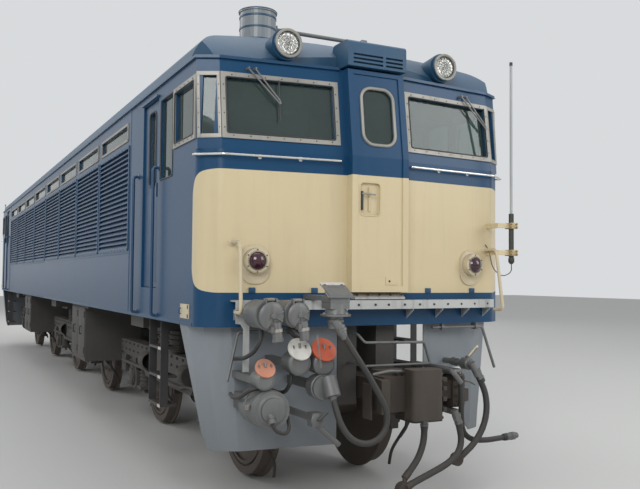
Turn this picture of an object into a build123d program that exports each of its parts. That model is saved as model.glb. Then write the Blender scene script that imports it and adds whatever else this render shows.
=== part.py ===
from build123d import *
import math
import os

# Box-cab electric locomotive on three two-axle bogies, in millimetres.
# X to the right seen from the leading end, Y back along the body, Z up.
# The origin is below the middle of the body, at the tips of the wheel flanges.
# Heights named z_... are above the rail top, and RAIL lifts them into the frame.

# Driving dimensions of the body
FACE_TO_FACE = 17000.0
BODY_WIDTH = 2800.0
BODY_BOTTOM = 1368.0
BELT_HEIGHT = 2690.0
EAVES_HEIGHT = 3391.0
CROWN_HEIGHT = EAVES_HEIGHT + 334.0
SHOULDER_HEIGHT = EAVES_HEIGHT + 234.0
SHOULDER_IN = 200.0
WALL = 60.0
ROOF_WALL = 50.0
FACE_SWEEP = 0.116
FACE_LEAN = 0.131
FLAT_HALF = 290.0
CORNER_IN = 153.0
CORNER_BACK = 225.0
CORNER_RADIUS = 120.0
CAB_LENGTH = 2330.0
FLOOR_TOP = 1600.0
FLOOR_THICK = 60.0

# Running gear
GAUGE = 1067.0
WHEEL_DIAMETER = 1120.0
FLANGE_DEPTH = 28.0
FLANGE_WIDTH = 32.0
WHEEL_WIDTH = 125.0
AXLE_RADIUS = 95.0
JOURNAL_RADIUS = 65.0
BOGIE_WHEELBASE = 2800.0
BOGIE_SPACING = 5850.0
JOURNAL_SPREAD = 1700.0
BEAM_WIDTH = 160.0
RUNNING_GAP = 0.3
SHAFT_GAP = 2.0

# Coupler
COUPLER_HEIGHT = 880.0
COUPLER_REACH = 525.0

# Pantographs
PANTO_BACK = 2300.0
PANTO_ARM = 1000.0
PANTO_HALF_BASE = 280.0
PANTO_PIVOT_Z = CROWN_HEIGHT + 180.0
PANTO_FOLDED_RISE = 95.0
PANTO_HEAD_Z = PANTO_PIVOT_Z + PANTO_FOLDED_RISE
PANTO_HALF_WIDTH = 500.0

RAIL = FLANGE_DEPTH
HALF_LENGTH = FACE_TO_FACE / 2
HALF_WIDTH = BODY_WIDTH / 2
SHOULDER_X = HALF_WIDTH - SHOULDER_IN
CORNER_X = HALF_WIDTH - CORNER_IN
AXLE_Z = WHEEL_DIAMETER / 2

NODES = {}


def keep(name, shape):
    """Store a sub-part under its node name, as one shape."""
    pieces = shape if isinstance(shape, (list, tuple)) else [shape]
    solids = [solid for piece in pieces for solid in solids_of(piece)]
    NODES[name] = solids[0] if len(solids) == 1 else Compound(children=solids)


def solids_of(shape):
    """All solids of a shape or of a list of shapes."""
    if isinstance(shape, (list, tuple)):
        return [solid for piece in shape for solid in solids_of(piece)]
    return list(shape.solids())


def block(x0, x1, y0, y1, z0, z1):
    """Box between two corners."""
    size = Box(abs(x1 - x0), abs(y1 - y0), abs(z1 - z0))
    return Pos((x0 + x1) / 2, (y0 + y1) / 2, (z0 + z1) / 2) * size


def prism_z(points, z0, z1):
    """Plan outline raised from z0 to z1."""
    face = Face(Wire.make_polygon([Vector(x, y, z0) for x, y in points], close=True))
    return extrude(face, amount=z1 - z0, dir=(0, 0, 1))


def prism_x(points, x0, x1):
    """Side outline of (y, z) points, from x0 to x1."""
    face = Face(Wire.make_polygon([Vector(x0, y, z) for y, z in points], close=True))
    return extrude(face, amount=x1 - x0, dir=(1, 0, 0))


def prism_y(points, y0, y1):
    """Front outline of (x, z) points, from y0 to y1."""
    face = Face(Wire.make_polygon([Vector(x, y0, z) for x, z in points], close=True))
    return extrude(face, amount=y1 - y0, dir=(0, 1, 0))


def rounded_y(x0, x1, z0, z1, radius, y0, y1):
    """Front rectangle with rounded corners, from y0 to y1."""
    shape = block(x0, x1, y0, y1, z0, z1)
    return fillet(shape.edges().filter_by(Axis.Y), radius)


def rounded_x(y0, y1, z0, z1, radius, x0, x1):
    """Side rectangle with rounded corners, from x0 to x1."""
    shape = block(x0, x1, y0, y1, z0, z1)
    return fillet(shape.edges().filter_by(Axis.X), radius)


def rod(start, end, radius):
    """Round bar between two points."""
    a = Vector(*start)
    b = Vector(*end)
    way = b - a
    return Plane(origin=(a + b) / 2, z_dir=way) * Cylinder(radius, way.length)


def bent_rod(points, radius, bend):
    """Round bar along straight runs with equal bends."""
    path = FilletPolyline(*points, radius=bend)
    start = Plane(origin=path @ 0, z_dir=path % 0)
    return sweep(start * Circle(radius), path=path)


def cord_tube(points, radius, label):
    """Hose or cable: each bend takes 0.45 of its shorter run."""
    vectors = [Vector(*p) for p in points]
    radii = []
    for a, b, c in zip(vectors, vectors[1:], vectors[2:]):
        turn = (b - a).get_angle(c - b)
        run = min((b - a).length, (c - b).length)
        radii.append(0.45 * run / math.tan(math.radians(turn) / 2))
    print(label, "diameter", 2 * radius, "bend radii", [round(r) for r in radii])
    path = FilletPolyline(*points, radius=radii)
    start = Plane(origin=path @ 0, z_dir=path % 0)
    tube = sweep(start * Circle(radius), path=path)
    ideal = math.pi * radius ** 2 * path.length
    print(label, "length", round(path.length), "volume ratio", round(tube.volume / ideal, 4))
    return tube


def bar(start, end, radius, sides=8):
    """Straight bar of regular section between two points, for gear that needs no true round."""
    a = Vector(*start)
    way = Vector(*end) - a
    section = Plane(origin=a, z_dir=way) * RegularPolygon(radius, sides)
    return extrude(section, amount=way.length, dir=tuple(way.normalized()))


def softened(points, bend):
    """Path whose corners are cut into three short chords, as a bent bar has them."""
    vectors = [Vector(*p) for p in points]
    path = [vectors[0]]
    for a, b, c in zip(vectors, vectors[1:], vectors[2:]):
        start = b + (a - b).normalized() * bend
        end = b + (c - b).normalized() * bend
        for t in (0.0, 1 / 3, 2 / 3, 1.0):
            path.append(start * (1 - t) ** 2 + b * (2 * t * (1 - t)) + end * t ** 2)
    return path + [vectors[-1]]


def bent_bar(points, radius, bend, sides=8):
    """Bar of regular section bent through these corners, mitred from chord to chord."""
    path = softened(points, bend)
    ways = [(b - a).normalized() for a, b in zip(path, path[1:])]
    start = Plane(origin=path[0], z_dir=ways[0])
    turns = [2 * math.pi * k / sides for k in range(sides)]
    rings = [[start.from_local_coords(Vector(radius * math.cos(t), radius * math.sin(t), 0)) for t in turns]]
    for n, way in enumerate(ways):
        mitre = way + ways[min(n + 1, len(ways) - 1)]
        centre = path[n + 1]
        rings.append([p + way * ((centre - p).dot(mitre) / way.dot(mitre)) for p in rings[-1]])
    faces = [Face(Wire.make_polygon(ring, close=True)) for ring in (rings[0], rings[-1])]
    for low, high in zip(rings, rings[1:]):
        for k in range(sides):
            j = (k + 1) % sides
            faces.append(Face(Wire.make_polygon([low[k], low[j], high[j], high[k]], close=True)))
    return Solid(Shell(faces))


def drum_y(x, z, radius, y0, y1, sides=20):
    """Round body lying along Y, from y0 to y1."""
    return bar((x, y0, z), (x, y1, z), radius, sides)


def mirror_x(shape):
    if isinstance(shape, (list, tuple)):
        return [mirror_x(piece) for piece in shape]
    return mirror(shape, about=Plane.YZ)


def both_sides(shape):
    return [shape, mirror_x(shape)]


def at_front(shape):
    """Move a shape from the face's own frame to the leading end."""
    if isinstance(shape, (list, tuple)):
        return [at_front(piece) for piece in shape]
    return Pos(0, -HALF_LENGTH, RAIL) * shape


def at_rear(shape):
    """The same shape at the trailing end, turned half round."""
    if isinstance(shape, (list, tuple)):
        return [at_rear(piece) for piece in shape]
    return Rot(0, 0, 180) * at_front(shape)


def both_ends(shape):
    return [at_front(shape), at_rear(shape)]


# Body envelope. Shapes of one end are drawn in the face's own frame:
# Y = 0 is the face plane beside the door, Z = 0 is the rail top.

def plan(out, lean, length):
    """Plan of one end, pushed out by `out` and leant back by `lean`."""
    side = HALF_WIDTH + out
    corner = CORNER_X + 0.5 * out
    flat_back = lean - out
    corner_back = flat_back + FACE_SWEEP * (CORNER_X - FLAT_HALF)
    side_back = CORNER_BACK + 0.6 * lean - 0.5 * out
    right = [(FLAT_HALF, flat_back), (corner, corner_back), (side, side_back), (side, length)]
    left = [(-x, y) for x, y in reversed(right)]
    return right + left


def lower_body(out, z0=BODY_BOTTOM, z1=BELT_HEIGHT, length=CAB_LENGTH):
    shape = prism_z(plan(out, 0.0, length), z0, z1)
    corners = [e for e in shape.edges().filter_by(Axis.Z) if CORNER_BACK + 200 > e.center().Y]
    rounding = [e for e in corners if abs(e.center().X) > CORNER_X - 2 * WALL]
    return fillet(rounding, CORNER_RADIUS + out)


def upper_body(out, z0=BELT_HEIGHT, z1=EAVES_HEIGHT, length=CAB_LENGTH):
    sections = []
    for z in (z0, z1):
        points = plan(out, FACE_LEAN * (z - BELT_HEIGHT), length)
        sections.append(Face(Wire.make_polygon([Vector(x, y, z) for x, y in points], close=True)))
    return loft(sections, ruled=True)


def face_back(x, z):
    """How far the outer face lies behind the face plane at this place."""
    lean = FACE_LEAN * max(0.0, z - BELT_HEIGHT)
    return lean + FACE_SWEEP * max(0.0, abs(x) - FLAT_HALF)


def on_face(x, z):
    """Place on the swept face: local Y points into the body, local X along the face."""
    turn = math.degrees(math.atan(FACE_SWEEP)) * (1 if x > FLAT_HALF else -1 if x < -FLAT_HALF else 0)
    return Pos(x, face_back(x, z), z) * Rot(0, 0, turn)


# Roof section and nose

def roof_section(inset):
    """Half-round shoulders and a flat crown, as a face across the body."""
    side = HALF_WIDTH - inset
    shoulder = Vector(SHOULDER_X - 0.6 * inset, 0, SHOULDER_HEIGHT - 0.9 * inset)
    eave = Vector(side, 0, EAVES_HEIGHT)
    mid = Vector(side - 58, 0, EAVES_HEIGHT + 150 - 0.5 * inset)
    crown = Vector(0, 0, CROWN_HEIGHT - inset)

    def left(v):
        return Vector(-v.X, v.Y, v.Z)

    edges = [
        ThreePointArc(eave, mid, shoulder),
        ThreePointArc(shoulder, crown, left(shoulder)),
        ThreePointArc(left(shoulder), left(mid), left(eave)),
        Line(left(eave), eave),
    ]
    return Face(Wire(edges))


NOSE_LIP_BACK = 88.0
NOSE_TOP_BACK = 760.0


def roof_body(inset):
    """Roof volume of the whole length, with a rounded nose swept like the faces."""
    section = Pos(0, -HALF_LENGTH, 0) * roof_section(inset)
    volume = extrude(section, amount=FACE_TO_FACE, dir=(0, 1, 0))
    lip = Vector(0, NOSE_LIP_BACK + inset, EAVES_HEIGHT)
    mid = Vector(0, NOSE_LIP_BACK + 170 + inset, EAVES_HEIGHT + 195 - 0.5 * inset)
    top = Vector(0, NOSE_TOP_BACK, CROWN_HEIGHT + 5 - inset)
    for end in (0, 1):
        for side in (-1, 1):
            profile = Face(Wire([
                ThreePointArc(lip, mid, top),
                Line(top, top + Vector(0, 0, 200)),
                Line(top + Vector(0, 0, 200), lip + Vector(0, -900, 534)),
                Line(lip + Vector(0, -900, 534), lip + Vector(0, -900, 0)),
                Line(lip + Vector(0, -900, 0), lip),
            ]))
            start = Pos(side * FLAT_HALF, 0, 0) * profile
            reach = 1400.0
            cutter = extrude(start, amount=reach, dir=(side, FACE_SWEEP, 0))
            middle = extrude(profile, amount=FLAT_HALF + 1, dir=(side, 0, 0))
            cut = Pos(0, -HALF_LENGTH, 0) * (cutter + middle)
            if end:
                cut = Rot(0, 0, 180) * cut
            volume = volume - cut
    return volume


def corner_trim(inset):
    """Plan of the roof with its clipped corners."""
    side = HALF_WIDTH - inset
    front = -HALF_LENGTH + NOSE_LIP_BACK + inset
    right = [
        (side, front + 330),
        (CORNER_X + 24 - inset, front + FACE_SWEEP * (CORNER_X - FLAT_HALF) - 20),
    ]
    end = right + [(-x, y) for x, y in reversed(right)]
    return end + [(-x, -y) for x, y in end]


def make_roof():
    outer = roof_body(0.0) & prism_z(corner_trim(0.0), EAVES_HEIGHT, CROWN_HEIGHT + 10)
    inner = roof_body(ROOF_WALL) & prism_z(corner_trim(ROOF_WALL), EAVES_HEIGHT - 1, CROWN_HEIGHT + 10)
    return outer, outer - inner


ROOF_OUTER, ROOF = make_roof()
ROOF_AT_END = Pos(0, HALF_LENGTH, 0) * ROOF_OUTER
keep("roof", Pos(0, 0, RAIL) * ROOF)

# Cab shell: windows, gangway doorway and side doorways

PANE_X = (312.0, CORNER_X)
PANE_Z = (BELT_HEIGHT + 81.0, EAVES_HEIGHT - 109.0)
FRAME_FACE = 42.0
FRAME_PROUD = 12.0
GLASS = 8.0
GLASS_BACK = 22.0

SIDE_PANE_Y = (265.0, 850.0)
SIDE_PANE_Z = (BELT_HEIGHT + 82.0, EAVES_HEIGHT - 130.0)
REAR_PANE_Y = (890.0, 1258.0)
REAR_PANE_Z = (BELT_HEIGHT - 122.0, EAVES_HEIGHT - 141.0)

DOOR_Y = (1333.0, 1865.0)
DOOR_Z = (FLOOR_TOP + 40.0, EAVES_HEIGHT - 91.0)
DOOR_THICK = 40.0
DOOR_SET_BACK = 20.0
DOOR_GAP = 5.0
DOOR_PANE_Y = (1490.0, 1700.0)
DOOR_PANE_Z = (BELT_HEIGHT - 140.0, EAVES_HEIGHT - 181.0)

GANGWAY_HALF = 257.0
GANGWAY_PROUD = 90.0
GANGWAY_Z = (FLOOR_TOP + 43.0, EAVES_HEIGHT - 3.0)
GANGWAY_PANE_Z = (BELT_HEIGHT + 103.0, EAVES_HEIGHT - 151.0)
GANGWAY_PANE_ROUND = 85.0
GANGWAY_LEAF_HALF = 225.0
GANGWAY_POCKET_HALF = 246.0
GANGWAY_LIP = 205.0
SWING_GAP = 4.0
LIP_THICK = 10.0
LEAF_THICK = 35.0
GANGWAY_PIVOT = (225.0, 50.0)


def slab(x0, x1, out1, out0, z0, z1):
    """Plate that follows the face between two offsets, over a front rectangle."""
    pieces = []
    window = block(x0, x1, -400, 500, z0, z1)
    if z0 < BELT_HEIGHT:
        back = block(x0, x1, -out0, 600, z0 - 1, BELT_HEIGHT + 1)
        pieces.append((lower_body(out1) & window) - back)
    if z1 > BELT_HEIGHT:
        pieces.append((upper_body(out1) - upper_body(out0)) & window)
    shape = pieces[0]
    for piece in pieces[1:]:
        shape = shape + piece
    return shape


def front_pane_outline(inset):
    x0, x1 = PANE_X
    z0, z1 = PANE_Z
    return [(x0 + inset, z0 + inset), (x1 - inset, z0 + inset), (x1 - inset, z1 - inset), (x0 + inset, z1 - inset)]


def front_pane_prism(inset):
    return prism_y(front_pane_outline(inset), -200, 420)


CORNER_MID = ((CORNER_X + HALF_WIDTH) / 2, (111.0 + CORNER_BACK) / 2)
CORNER_TURN = math.degrees(math.atan2(CORNER_BACK - 111.0, HALF_WIDTH - CORNER_X))
CORNER_PANE = 150.0


def corner_pane_prism(inset):
    """Window of the clipped corner, cut square to the corner."""
    half = CORNER_PANE / 2 - inset
    z0, z1 = PANE_Z
    body = block(-half, half, -160, 200, z0 + inset, z1 - inset)
    return Pos(CORNER_MID[0], CORNER_MID[1] + 40, 0) * Rot(0, 0, CORNER_TURN) * body


def side_pane_prism(inset):
    y0, y1 = SIDE_PANE_Y
    z0, z1 = SIDE_PANE_Z
    return block(HALF_WIDTH - 150, HALF_WIDTH + 60, y0 + inset, y1 - inset, z0 + inset, z1 - inset)


def rear_pane_prism(inset):
    y0, y1 = REAR_PANE_Y
    z0, z1 = REAR_PANE_Z
    return rounded_x(y0 + inset, y1 - inset, z0 + inset, z1 - inset, 50.0, HALF_WIDTH - 150, HALF_WIDTH + 60)


def door_prism():
    return block(HALF_WIDTH - 150, HALF_WIDTH + 60, DOOR_Y[0], DOOR_Y[1], DOOR_Z[0], DOOR_Z[1])


def side_hinge_lug(side, z0):
    """Lug of a side door hinge. Its nose is round, so that the leaf turns past it."""
    x, y = SIDE_PIVOT
    nose = Pos(side * x, y, z0 + HINGE_LUG / 2) * Cylinder(LUG_NOSE, HINGE_LUG)
    arm = block(side * (x - 12), side * (x + LUG_NOSE), y, DOOR_Y[1] + 40, z0, z0 + HINGE_LUG)
    root = block(side * (x - 12), side * (HALF_WIDTH - WALL + 5), DOOR_Y[1] + 1, DOOR_Y[1] + 40, z0, z0 + HINGE_LUG)
    return nose + arm + root


def make_cab():
    outer = lower_body(0.0) + upper_body(0.0)
    inner = lower_body(-WALL, BODY_BOTTOM - 1, BELT_HEIGHT) + upper_body(-WALL, z1=EAVES_HEIGHT)
    shell = outer - inner
    cuts = []
    for cut in (front_pane_prism(FRAME_FACE), corner_pane_prism(25.0), side_pane_prism(FRAME_FACE),
                rear_pane_prism(0.0), door_prism()):
        cuts.extend(both_sides(cut))
    for cut in cuts:
        shell = shell - cut
    doorway = block(-GANGWAY_POCKET_HALF - SWING_GAP, GANGWAY_POCKET_HALF, -50, 300, GANGWAY_Z[0], GANGWAY_Z[1] - 12)
    shell = shell - doorway
    # Proud surround of the gangway door: side walls, sill, head and the lip the leaf closes on.
    z0, z1 = GANGWAY_Z
    surround = slab(-GANGWAY_HALF, GANGWAY_HALF, GANGWAY_PROUD, 0.0, z0 - 12, z1)
    pocket = slab(-GANGWAY_POCKET_HALF, GANGWAY_POCKET_HALF, GANGWAY_PROUD - LIP_THICK, 0.0, z0 + 12, z1 - 12)
    mouth = slab(-GANGWAY_LIP, GANGWAY_LIP, GANGWAY_PROUD + 5, 0.0, z0 + 35, z1 - 35)
    shell = shell + (surround - pocket - mouth)
    # Seat of the side door hinges and of the gangway hinges.
    for side in (-1, 1):
        for z in SIDE_HINGES:
            for z0 in (z - HINGE_HALF - RUNNING_GAP - HINGE_LUG, z + HINGE_HALF + RUNNING_GAP):
                shell = shell + side_hinge_lug(side, z0)
    for z in GANGWAY_HINGES:
        for z0 in (z - HINGE_HALF - RUNNING_GAP - HINGE_LUG, z + HINGE_HALF + RUNNING_GAP):
            lug = block(GANGWAY_PIVOT[0] - 14, GANGWAY_POCKET_HALF, GANGWAY_PIVOT[1] - 14,
                        GANGWAY_PIVOT[1] + 14, z0, z0 + HINGE_LUG)
            shell = shell + lug
    return shell


HINGE_RADIUS = 10.0
HINGE_HALF = 40.0
HINGE_LUG = 20.0
LUG_NOSE = 5.7
SIDE_HINGES = (DOOR_Z[0] + 160.0, DOOR_Z[1] - 200.0)
GANGWAY_HINGES = (GANGWAY_Z[0] + 157.0, BELT_HEIGHT - 190.0)
SIDE_PIVOT = (HALF_WIDTH - WALL - 6.0, DOOR_Y[1] - 12.0)

CAB = make_cab()
keep("cab_front", at_front(CAB))
keep("cab_rear", at_rear(CAB))


def make_side_door():
    """Cab side door of the +X side, hinged at its rear edge."""
    outer = HALF_WIDTH - DOOR_SET_BACK
    y0 = DOOR_Y[0] + DOOR_GAP + 3
    y1 = DOOR_Y[1] - DOOR_GAP
    z0 = DOOR_Z[0] + DOOR_GAP
    z1 = DOOR_Z[1] - DOOR_GAP
    leaf = block(outer - DOOR_THICK, outer, y0, y1, z0, z1)
    pane = block(outer - 200, outer + 50, DOOR_PANE_Y[0], DOOR_PANE_Y[1], DOOR_PANE_Z[0], DOOR_PANE_Z[1])
    top = [e for e in pane.edges().filter_by(Axis.X)]
    pane = fillet(top, 50.0)
    leaf = leaf - pane
    for z in SIDE_HINGES:
        barrel = Pos(SIDE_PIVOT[0], SIDE_PIVOT[1], z) * Cylinder(HINGE_RADIUS, 2 * HINGE_HALF)
        leaf = leaf + barrel
    handle = block(outer, outer + 15, y0 + 60, y0 + 90, 2440, 2560)
    return leaf + handle


DOOR = make_side_door()
for end_name, place in (("front", at_front), ("rear", at_rear)):
    for side_name, shape in (("right", DOOR), ("left", mirror_x(DOOR))):
        keep("cab_door_%s_%s" % (end_name, side_name), place(shape))


def make_gangway_leaf():
    """Leaf that closes against the lip of the surround, from inside."""
    z0 = GANGWAY_Z[0] + 12 + DOOR_GAP
    z1 = GANGWAY_Z[1] - 12 - DOOR_GAP
    front = GANGWAY_PROUD - LIP_THICK - RUNNING_GAP
    leaf = slab(-GANGWAY_LEAF_HALF, GANGWAY_LEAF_HALF, front, front - LEAF_THICK, z0, z1)
    corner = min(GANGWAY_PANE_ROUND, 0.45 * (GANGWAY_PANE_Z[1] - GANGWAY_PANE_Z[0]))
    pane = rounded_y(-139, 139, GANGWAY_PANE_Z[0], GANGWAY_PANE_Z[1], corner, -200, 300)
    leaf = leaf - pane
    recess = rounded_y(-182, -1, 2227, 2483, 20.0, -front - 1, -front + 20)
    leaf = leaf - recess
    bar = rod((-91, -front + 14, 2260), (-91, -front + 14, 2450), 9.0)
    bar_ends = [rod((-91, -front + 14, z), (-91, -front + 22, z), 6.0) for z in (2275, 2435)]
    leaf = leaf + bar + bar_ends[0] + bar_ends[1]
    for z in GANGWAY_HINGES:
        barrel = Pos(GANGWAY_PIVOT[0], GANGWAY_PIVOT[1], z) * Cylinder(14.0, 2 * HINGE_HALF)
        arm = block(GANGWAY_PIVOT[0] - 14, GANGWAY_PIVOT[0], -front + LEAF_THICK - 1, GANGWAY_PIVOT[1],
                    z - HINGE_HALF, z + HINGE_HALF)
        leaf = leaf + barrel + arm
    return leaf


LEAF = make_gangway_leaf()
keep("gangway_door_front", at_front(LEAF))
keep("gangway_door_rear", at_rear(LEAF))

# Window frames and glass


def make_window_frames():
    high = upper_body(FRAME_PROUD) - upper_body(0.0)
    front = high & (front_pane_prism(0.0) - front_pane_prism(FRAME_FACE))
    side_ring = side_pane_prism(0.0) - side_pane_prism(FRAME_FACE)
    side = block(HALF_WIDTH, HALF_WIDTH + FRAME_PROUD, 200, 900, BELT_HEIGHT, EAVES_HEIGHT) & side_ring
    return [front, side]


def make_glass():
    layer = upper_body(-GLASS_BACK) - upper_body(-GLASS_BACK - GLASS)
    front = layer & front_pane_prism(FRAME_FACE)
    corner = layer & corner_pane_prism(25.0)
    sheet = block(HALF_WIDTH - GLASS_BACK - GLASS, HALF_WIDTH - GLASS_BACK, 0, CAB_LENGTH, BODY_BOTTOM, EAVES_HEIGHT)
    side = sheet & side_pane_prism(FRAME_FACE)
    rear = sheet & rear_pane_prism(0.0)
    return [front, corner, side, rear]


frames = []
panes = []
for shape in make_window_frames():
    for s in both_sides(shape):
        frames.extend(both_ends(s))
for shape in make_glass():
    for s in both_sides(shape):
        panes.extend(both_ends(s))
keep("window_frames", frames)

# Side walls between the cabs, with louvre panels and skylight windows

PANEL_COUNT = 8
PANEL_PITCH = (FACE_TO_FACE - 2 * 2380.0) / PANEL_COUNT
LOUVRE_LENGTH = 1420.0
LOUVRE_Z = (FLOOR_TOP + 418.0, EAVES_HEIGHT - 377.0)
LOUVRE_BLADES = 20
BLADE_PROUD = 8.0
BLADE_EDGE = 8.0
BLADE_DEEP = 30.0
LOUVRE_SHEET = 12.0
SKYLIGHT_LENGTH = 1300.0
SKYLIGHT_Z = (EAVES_HEIGHT - 281.0, EAVES_HEIGHT - 139.0)
WALL_LENGTH = FACE_TO_FACE - 2 * CAB_LENGTH


def make_side_wall():
    """Right side wall: plate with louvred openings, drawn in rail heights."""
    wall = block(HALF_WIDTH - WALL, HALF_WIDTH, -WALL_LENGTH / 2, WALL_LENGTH / 2, BODY_BOTTOM, EAVES_HEIGHT)
    cuts = []
    for n in range(PANEL_COUNT):
        mid = (n - (PANEL_COUNT - 1) / 2) * PANEL_PITCH
        cuts.append(block(HALF_WIDTH - 80, HALF_WIDTH + 20, mid - LOUVRE_LENGTH / 2, mid + LOUVRE_LENGTH / 2,
                          LOUVRE_Z[0], LOUVRE_Z[1]))
        cuts.append(block(HALF_WIDTH - 80, HALF_WIDTH + 20, mid - SKYLIGHT_LENGTH / 2, mid + SKYLIGHT_LENGTH / 2,
                          SKYLIGHT_Z[0], SKYLIGHT_Z[1]))
    wall = wall - cuts
    step = (LOUVRE_Z[1] - LOUVRE_Z[0]) / LOUVRE_BLADES
    back = HALF_WIDTH - BLADE_DEEP - LOUVRE_SHEET
    outline = [(back, LOUVRE_Z[1]), (back, LOUVRE_Z[0])]
    for k in range(LOUVRE_BLADES):
        z = LOUVRE_Z[0] + k * step
        outline.append((HALF_WIDTH + BLADE_PROUD, z))
        outline.append((HALF_WIDTH + BLADE_PROUD, z + BLADE_EDGE))
        outline.append((HALF_WIDTH - BLADE_DEEP, z + step))
    panels = []
    for n in range(PANEL_COUNT):
        mid = (n - (PANEL_COUNT - 1) / 2) * PANEL_PITCH
        panels.append(prism_y(outline, mid - LOUVRE_LENGTH / 2, mid + LOUVRE_LENGTH / 2))
    return wall.fuse(*panels)


SIDE_WALL = make_side_wall()
keep("side_wall_right", Pos(0, 0, RAIL) * SIDE_WALL)
keep("side_wall_left", Pos(0, 0, RAIL) * mirror_x(SIDE_WALL))

for n in range(PANEL_COUNT):
    mid = (n - (PANEL_COUNT - 1) / 2) * PANEL_PITCH
    sheet = block(HALF_WIDTH - GLASS_BACK - GLASS, HALF_WIDTH - GLASS_BACK, mid - SKYLIGHT_LENGTH / 2,
                  mid + SKYLIGHT_LENGTH / 2, SKYLIGHT_Z[0], SKYLIGHT_Z[1])
    for s in both_sides(sheet):
        panes.append(Pos(0, 0, RAIL) * s)
keep("window_glass", panes)

# Underframe

SILL_WIDTH = 100.0
SILL_DEPTH = 170.0
CENTRE_SILL = (250.0, 350.0)
BOLSTER_BOTTOM = 1230.0
DRAFT_HALF = 90.0
PIVOT_RADIUS = 150.0
PIVOT_BOTTOM = 700.0
JACK_Y = (-3600.0, 3600.0)
SIDE_PAD_X = (770.0, 1060.0)
SIDE_PAD = 40.0
BEAM_BACK = (100.0, 190.0)
DRAFT_FRONT = 130.0
DRAFT_LONG = 370.0
DRAFT_OUT = 260.0


def make_underframe():
    front_floor = lower_body(-WALL, FLOOR_TOP - FLOOR_THICK, FLOOR_TOP, CAB_LENGTH)
    floor = Pos(0, -HALF_LENGTH, 0) * front_floor
    rear_floor = Rot(0, 0, 180) * floor
    inner = HALF_WIDTH - WALL
    middle = block(-inner, inner, -HALF_LENGTH + CAB_LENGTH, HALF_LENGTH - CAB_LENGTH,
                   FLOOR_TOP - FLOOR_THICK, FLOOR_TOP)
    frame = floor + middle + rear_floor
    low = FLOOR_TOP - FLOOR_THICK - SILL_DEPTH
    top = FLOOR_TOP - FLOOR_THICK
    reach = HALF_LENGTH - 330
    for side in (-1, 1):
        frame = frame + block(side * (inner - SILL_WIDTH), side * inner, -reach, reach, low, top)
        frame = frame + block(side * CENTRE_SILL[0], side * CENTRE_SILL[1], -reach, reach, low - 60, top)
    for n in (-1, 0, 1):
        y = n * BOGIE_SPACING
        frame = frame + block(-inner + SILL_WIDTH, inner - SILL_WIDTH, y - 260, y + 260, BOLSTER_BOTTOM, top)
        for side in (-1, 1):
            frame = frame + block(side * SIDE_PAD_X[0], side * SIDE_PAD_X[1], y - 260, y + 260,
                                  BOLSTER_BOTTOM - SIDE_PAD, BOLSTER_BOTTOM)
        pin = Pos(0, y, (PIVOT_BOTTOM + BOLSTER_BOTTOM) / 2) * Cylinder(PIVOT_RADIUS, BOLSTER_BOTTOM - PIVOT_BOTTOM)
        frame = frame + pin
    beam = block(-inner, inner, BEAM_BACK[0], BEAM_BACK[1], low, top) & lower_body(-WALL)
    for x in (-1, 1):
        beam = beam + block(x * DRAFT_HALF, x * DRAFT_OUT, DRAFT_FRONT, DRAFT_FRONT + DRAFT_LONG,
                            COUPLER_HEIGHT - 140, low + 1)
    beam = Pos(0, -HALF_LENGTH, 0) * beam
    frame = frame + beam + Rot(0, 0, 180) * beam
    for x in (-1, 1):
        for y in JACK_Y:
            frame = frame + block(x * (inner - SILL_WIDTH), x * inner, y - 100, y + 100, low - 40, low + 1)
    return frame


keep("underframe", Pos(0, 0, RAIL) * make_underframe())

# Cab interiors: bulkhead, driving desk and two seats a cab

BULKHEAD_BACK = 2180.0
DESK_BACK = (300.0, 640.0)


def make_cab_interior():
    inner = HALF_WIDTH - WALL
    bulkhead = block(-inner, inner, BULKHEAD_BACK, BULKHEAD_BACK + 40, FLOOR_TOP, EAVES_HEIGHT)
    bulkhead = bulkhead - block(-350, 350, BULKHEAD_BACK - 10, BULKHEAD_BACK + 60, FLOOR_TOP + 60, DOOR_Z[1])
    doors = block(-350, 350, BULKHEAD_BACK + 5, BULKHEAD_BACK + 30, FLOOR_TOP + 60, DOOR_Z[1])
    pieces = [bulkhead + doors]
    for side in (-1, 1):
        desk = prism_x([(210, FLOOR_TOP), (210, 2500), (330, 2560), (560, 2330), (560, 2200), (420, 2150),
                        (420, FLOOR_TOP)], side * 420, side * 420 + side * 700)
        pieces.append(desk)
        seat = block(side * 520, side * 960, 980, 1260, 2040, 2140)
        back = block(side * 520, side * 960, 1230, 1300, 2100, 2640)
        post = Pos(side * 740, 1130, (FLOOR_TOP + 2040) / 2) * Cylinder(50, 2040 - FLOOR_TOP)
        foot = Pos(side * 740, 1130, FLOOR_TOP + 10) * Cylinder(160, 20)
        pieces.append(seat + back + post + foot)
    return pieces


interior = []
for shape in make_cab_interior():
    interior.extend(both_ends(shape))
keep("cab_interiors", interior)

MACHINE = (1500.0, 8400.0, 1400.0)
machine = block(-MACHINE[0] / 2, MACHINE[0] / 2, -MACHINE[1] / 2, MACHINE[1] / 2, FLOOR_TOP, FLOOR_TOP + MACHINE[2])
keep("machine_block", Pos(0, 0, RAIL) * machine)

# Lamps

HEADLAMP = (731.0, 77.0, EAVES_HEIGHT + 150.0)
HEADLAMP_RING = 112.5
HEADLAMP_LENS = 90.0
TAIL_LAMP = (HALF_WIDTH - 413.0, 1860.0)


FROM_START = (Align.CENTER, Align.CENTER, Align.MIN)


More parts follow.
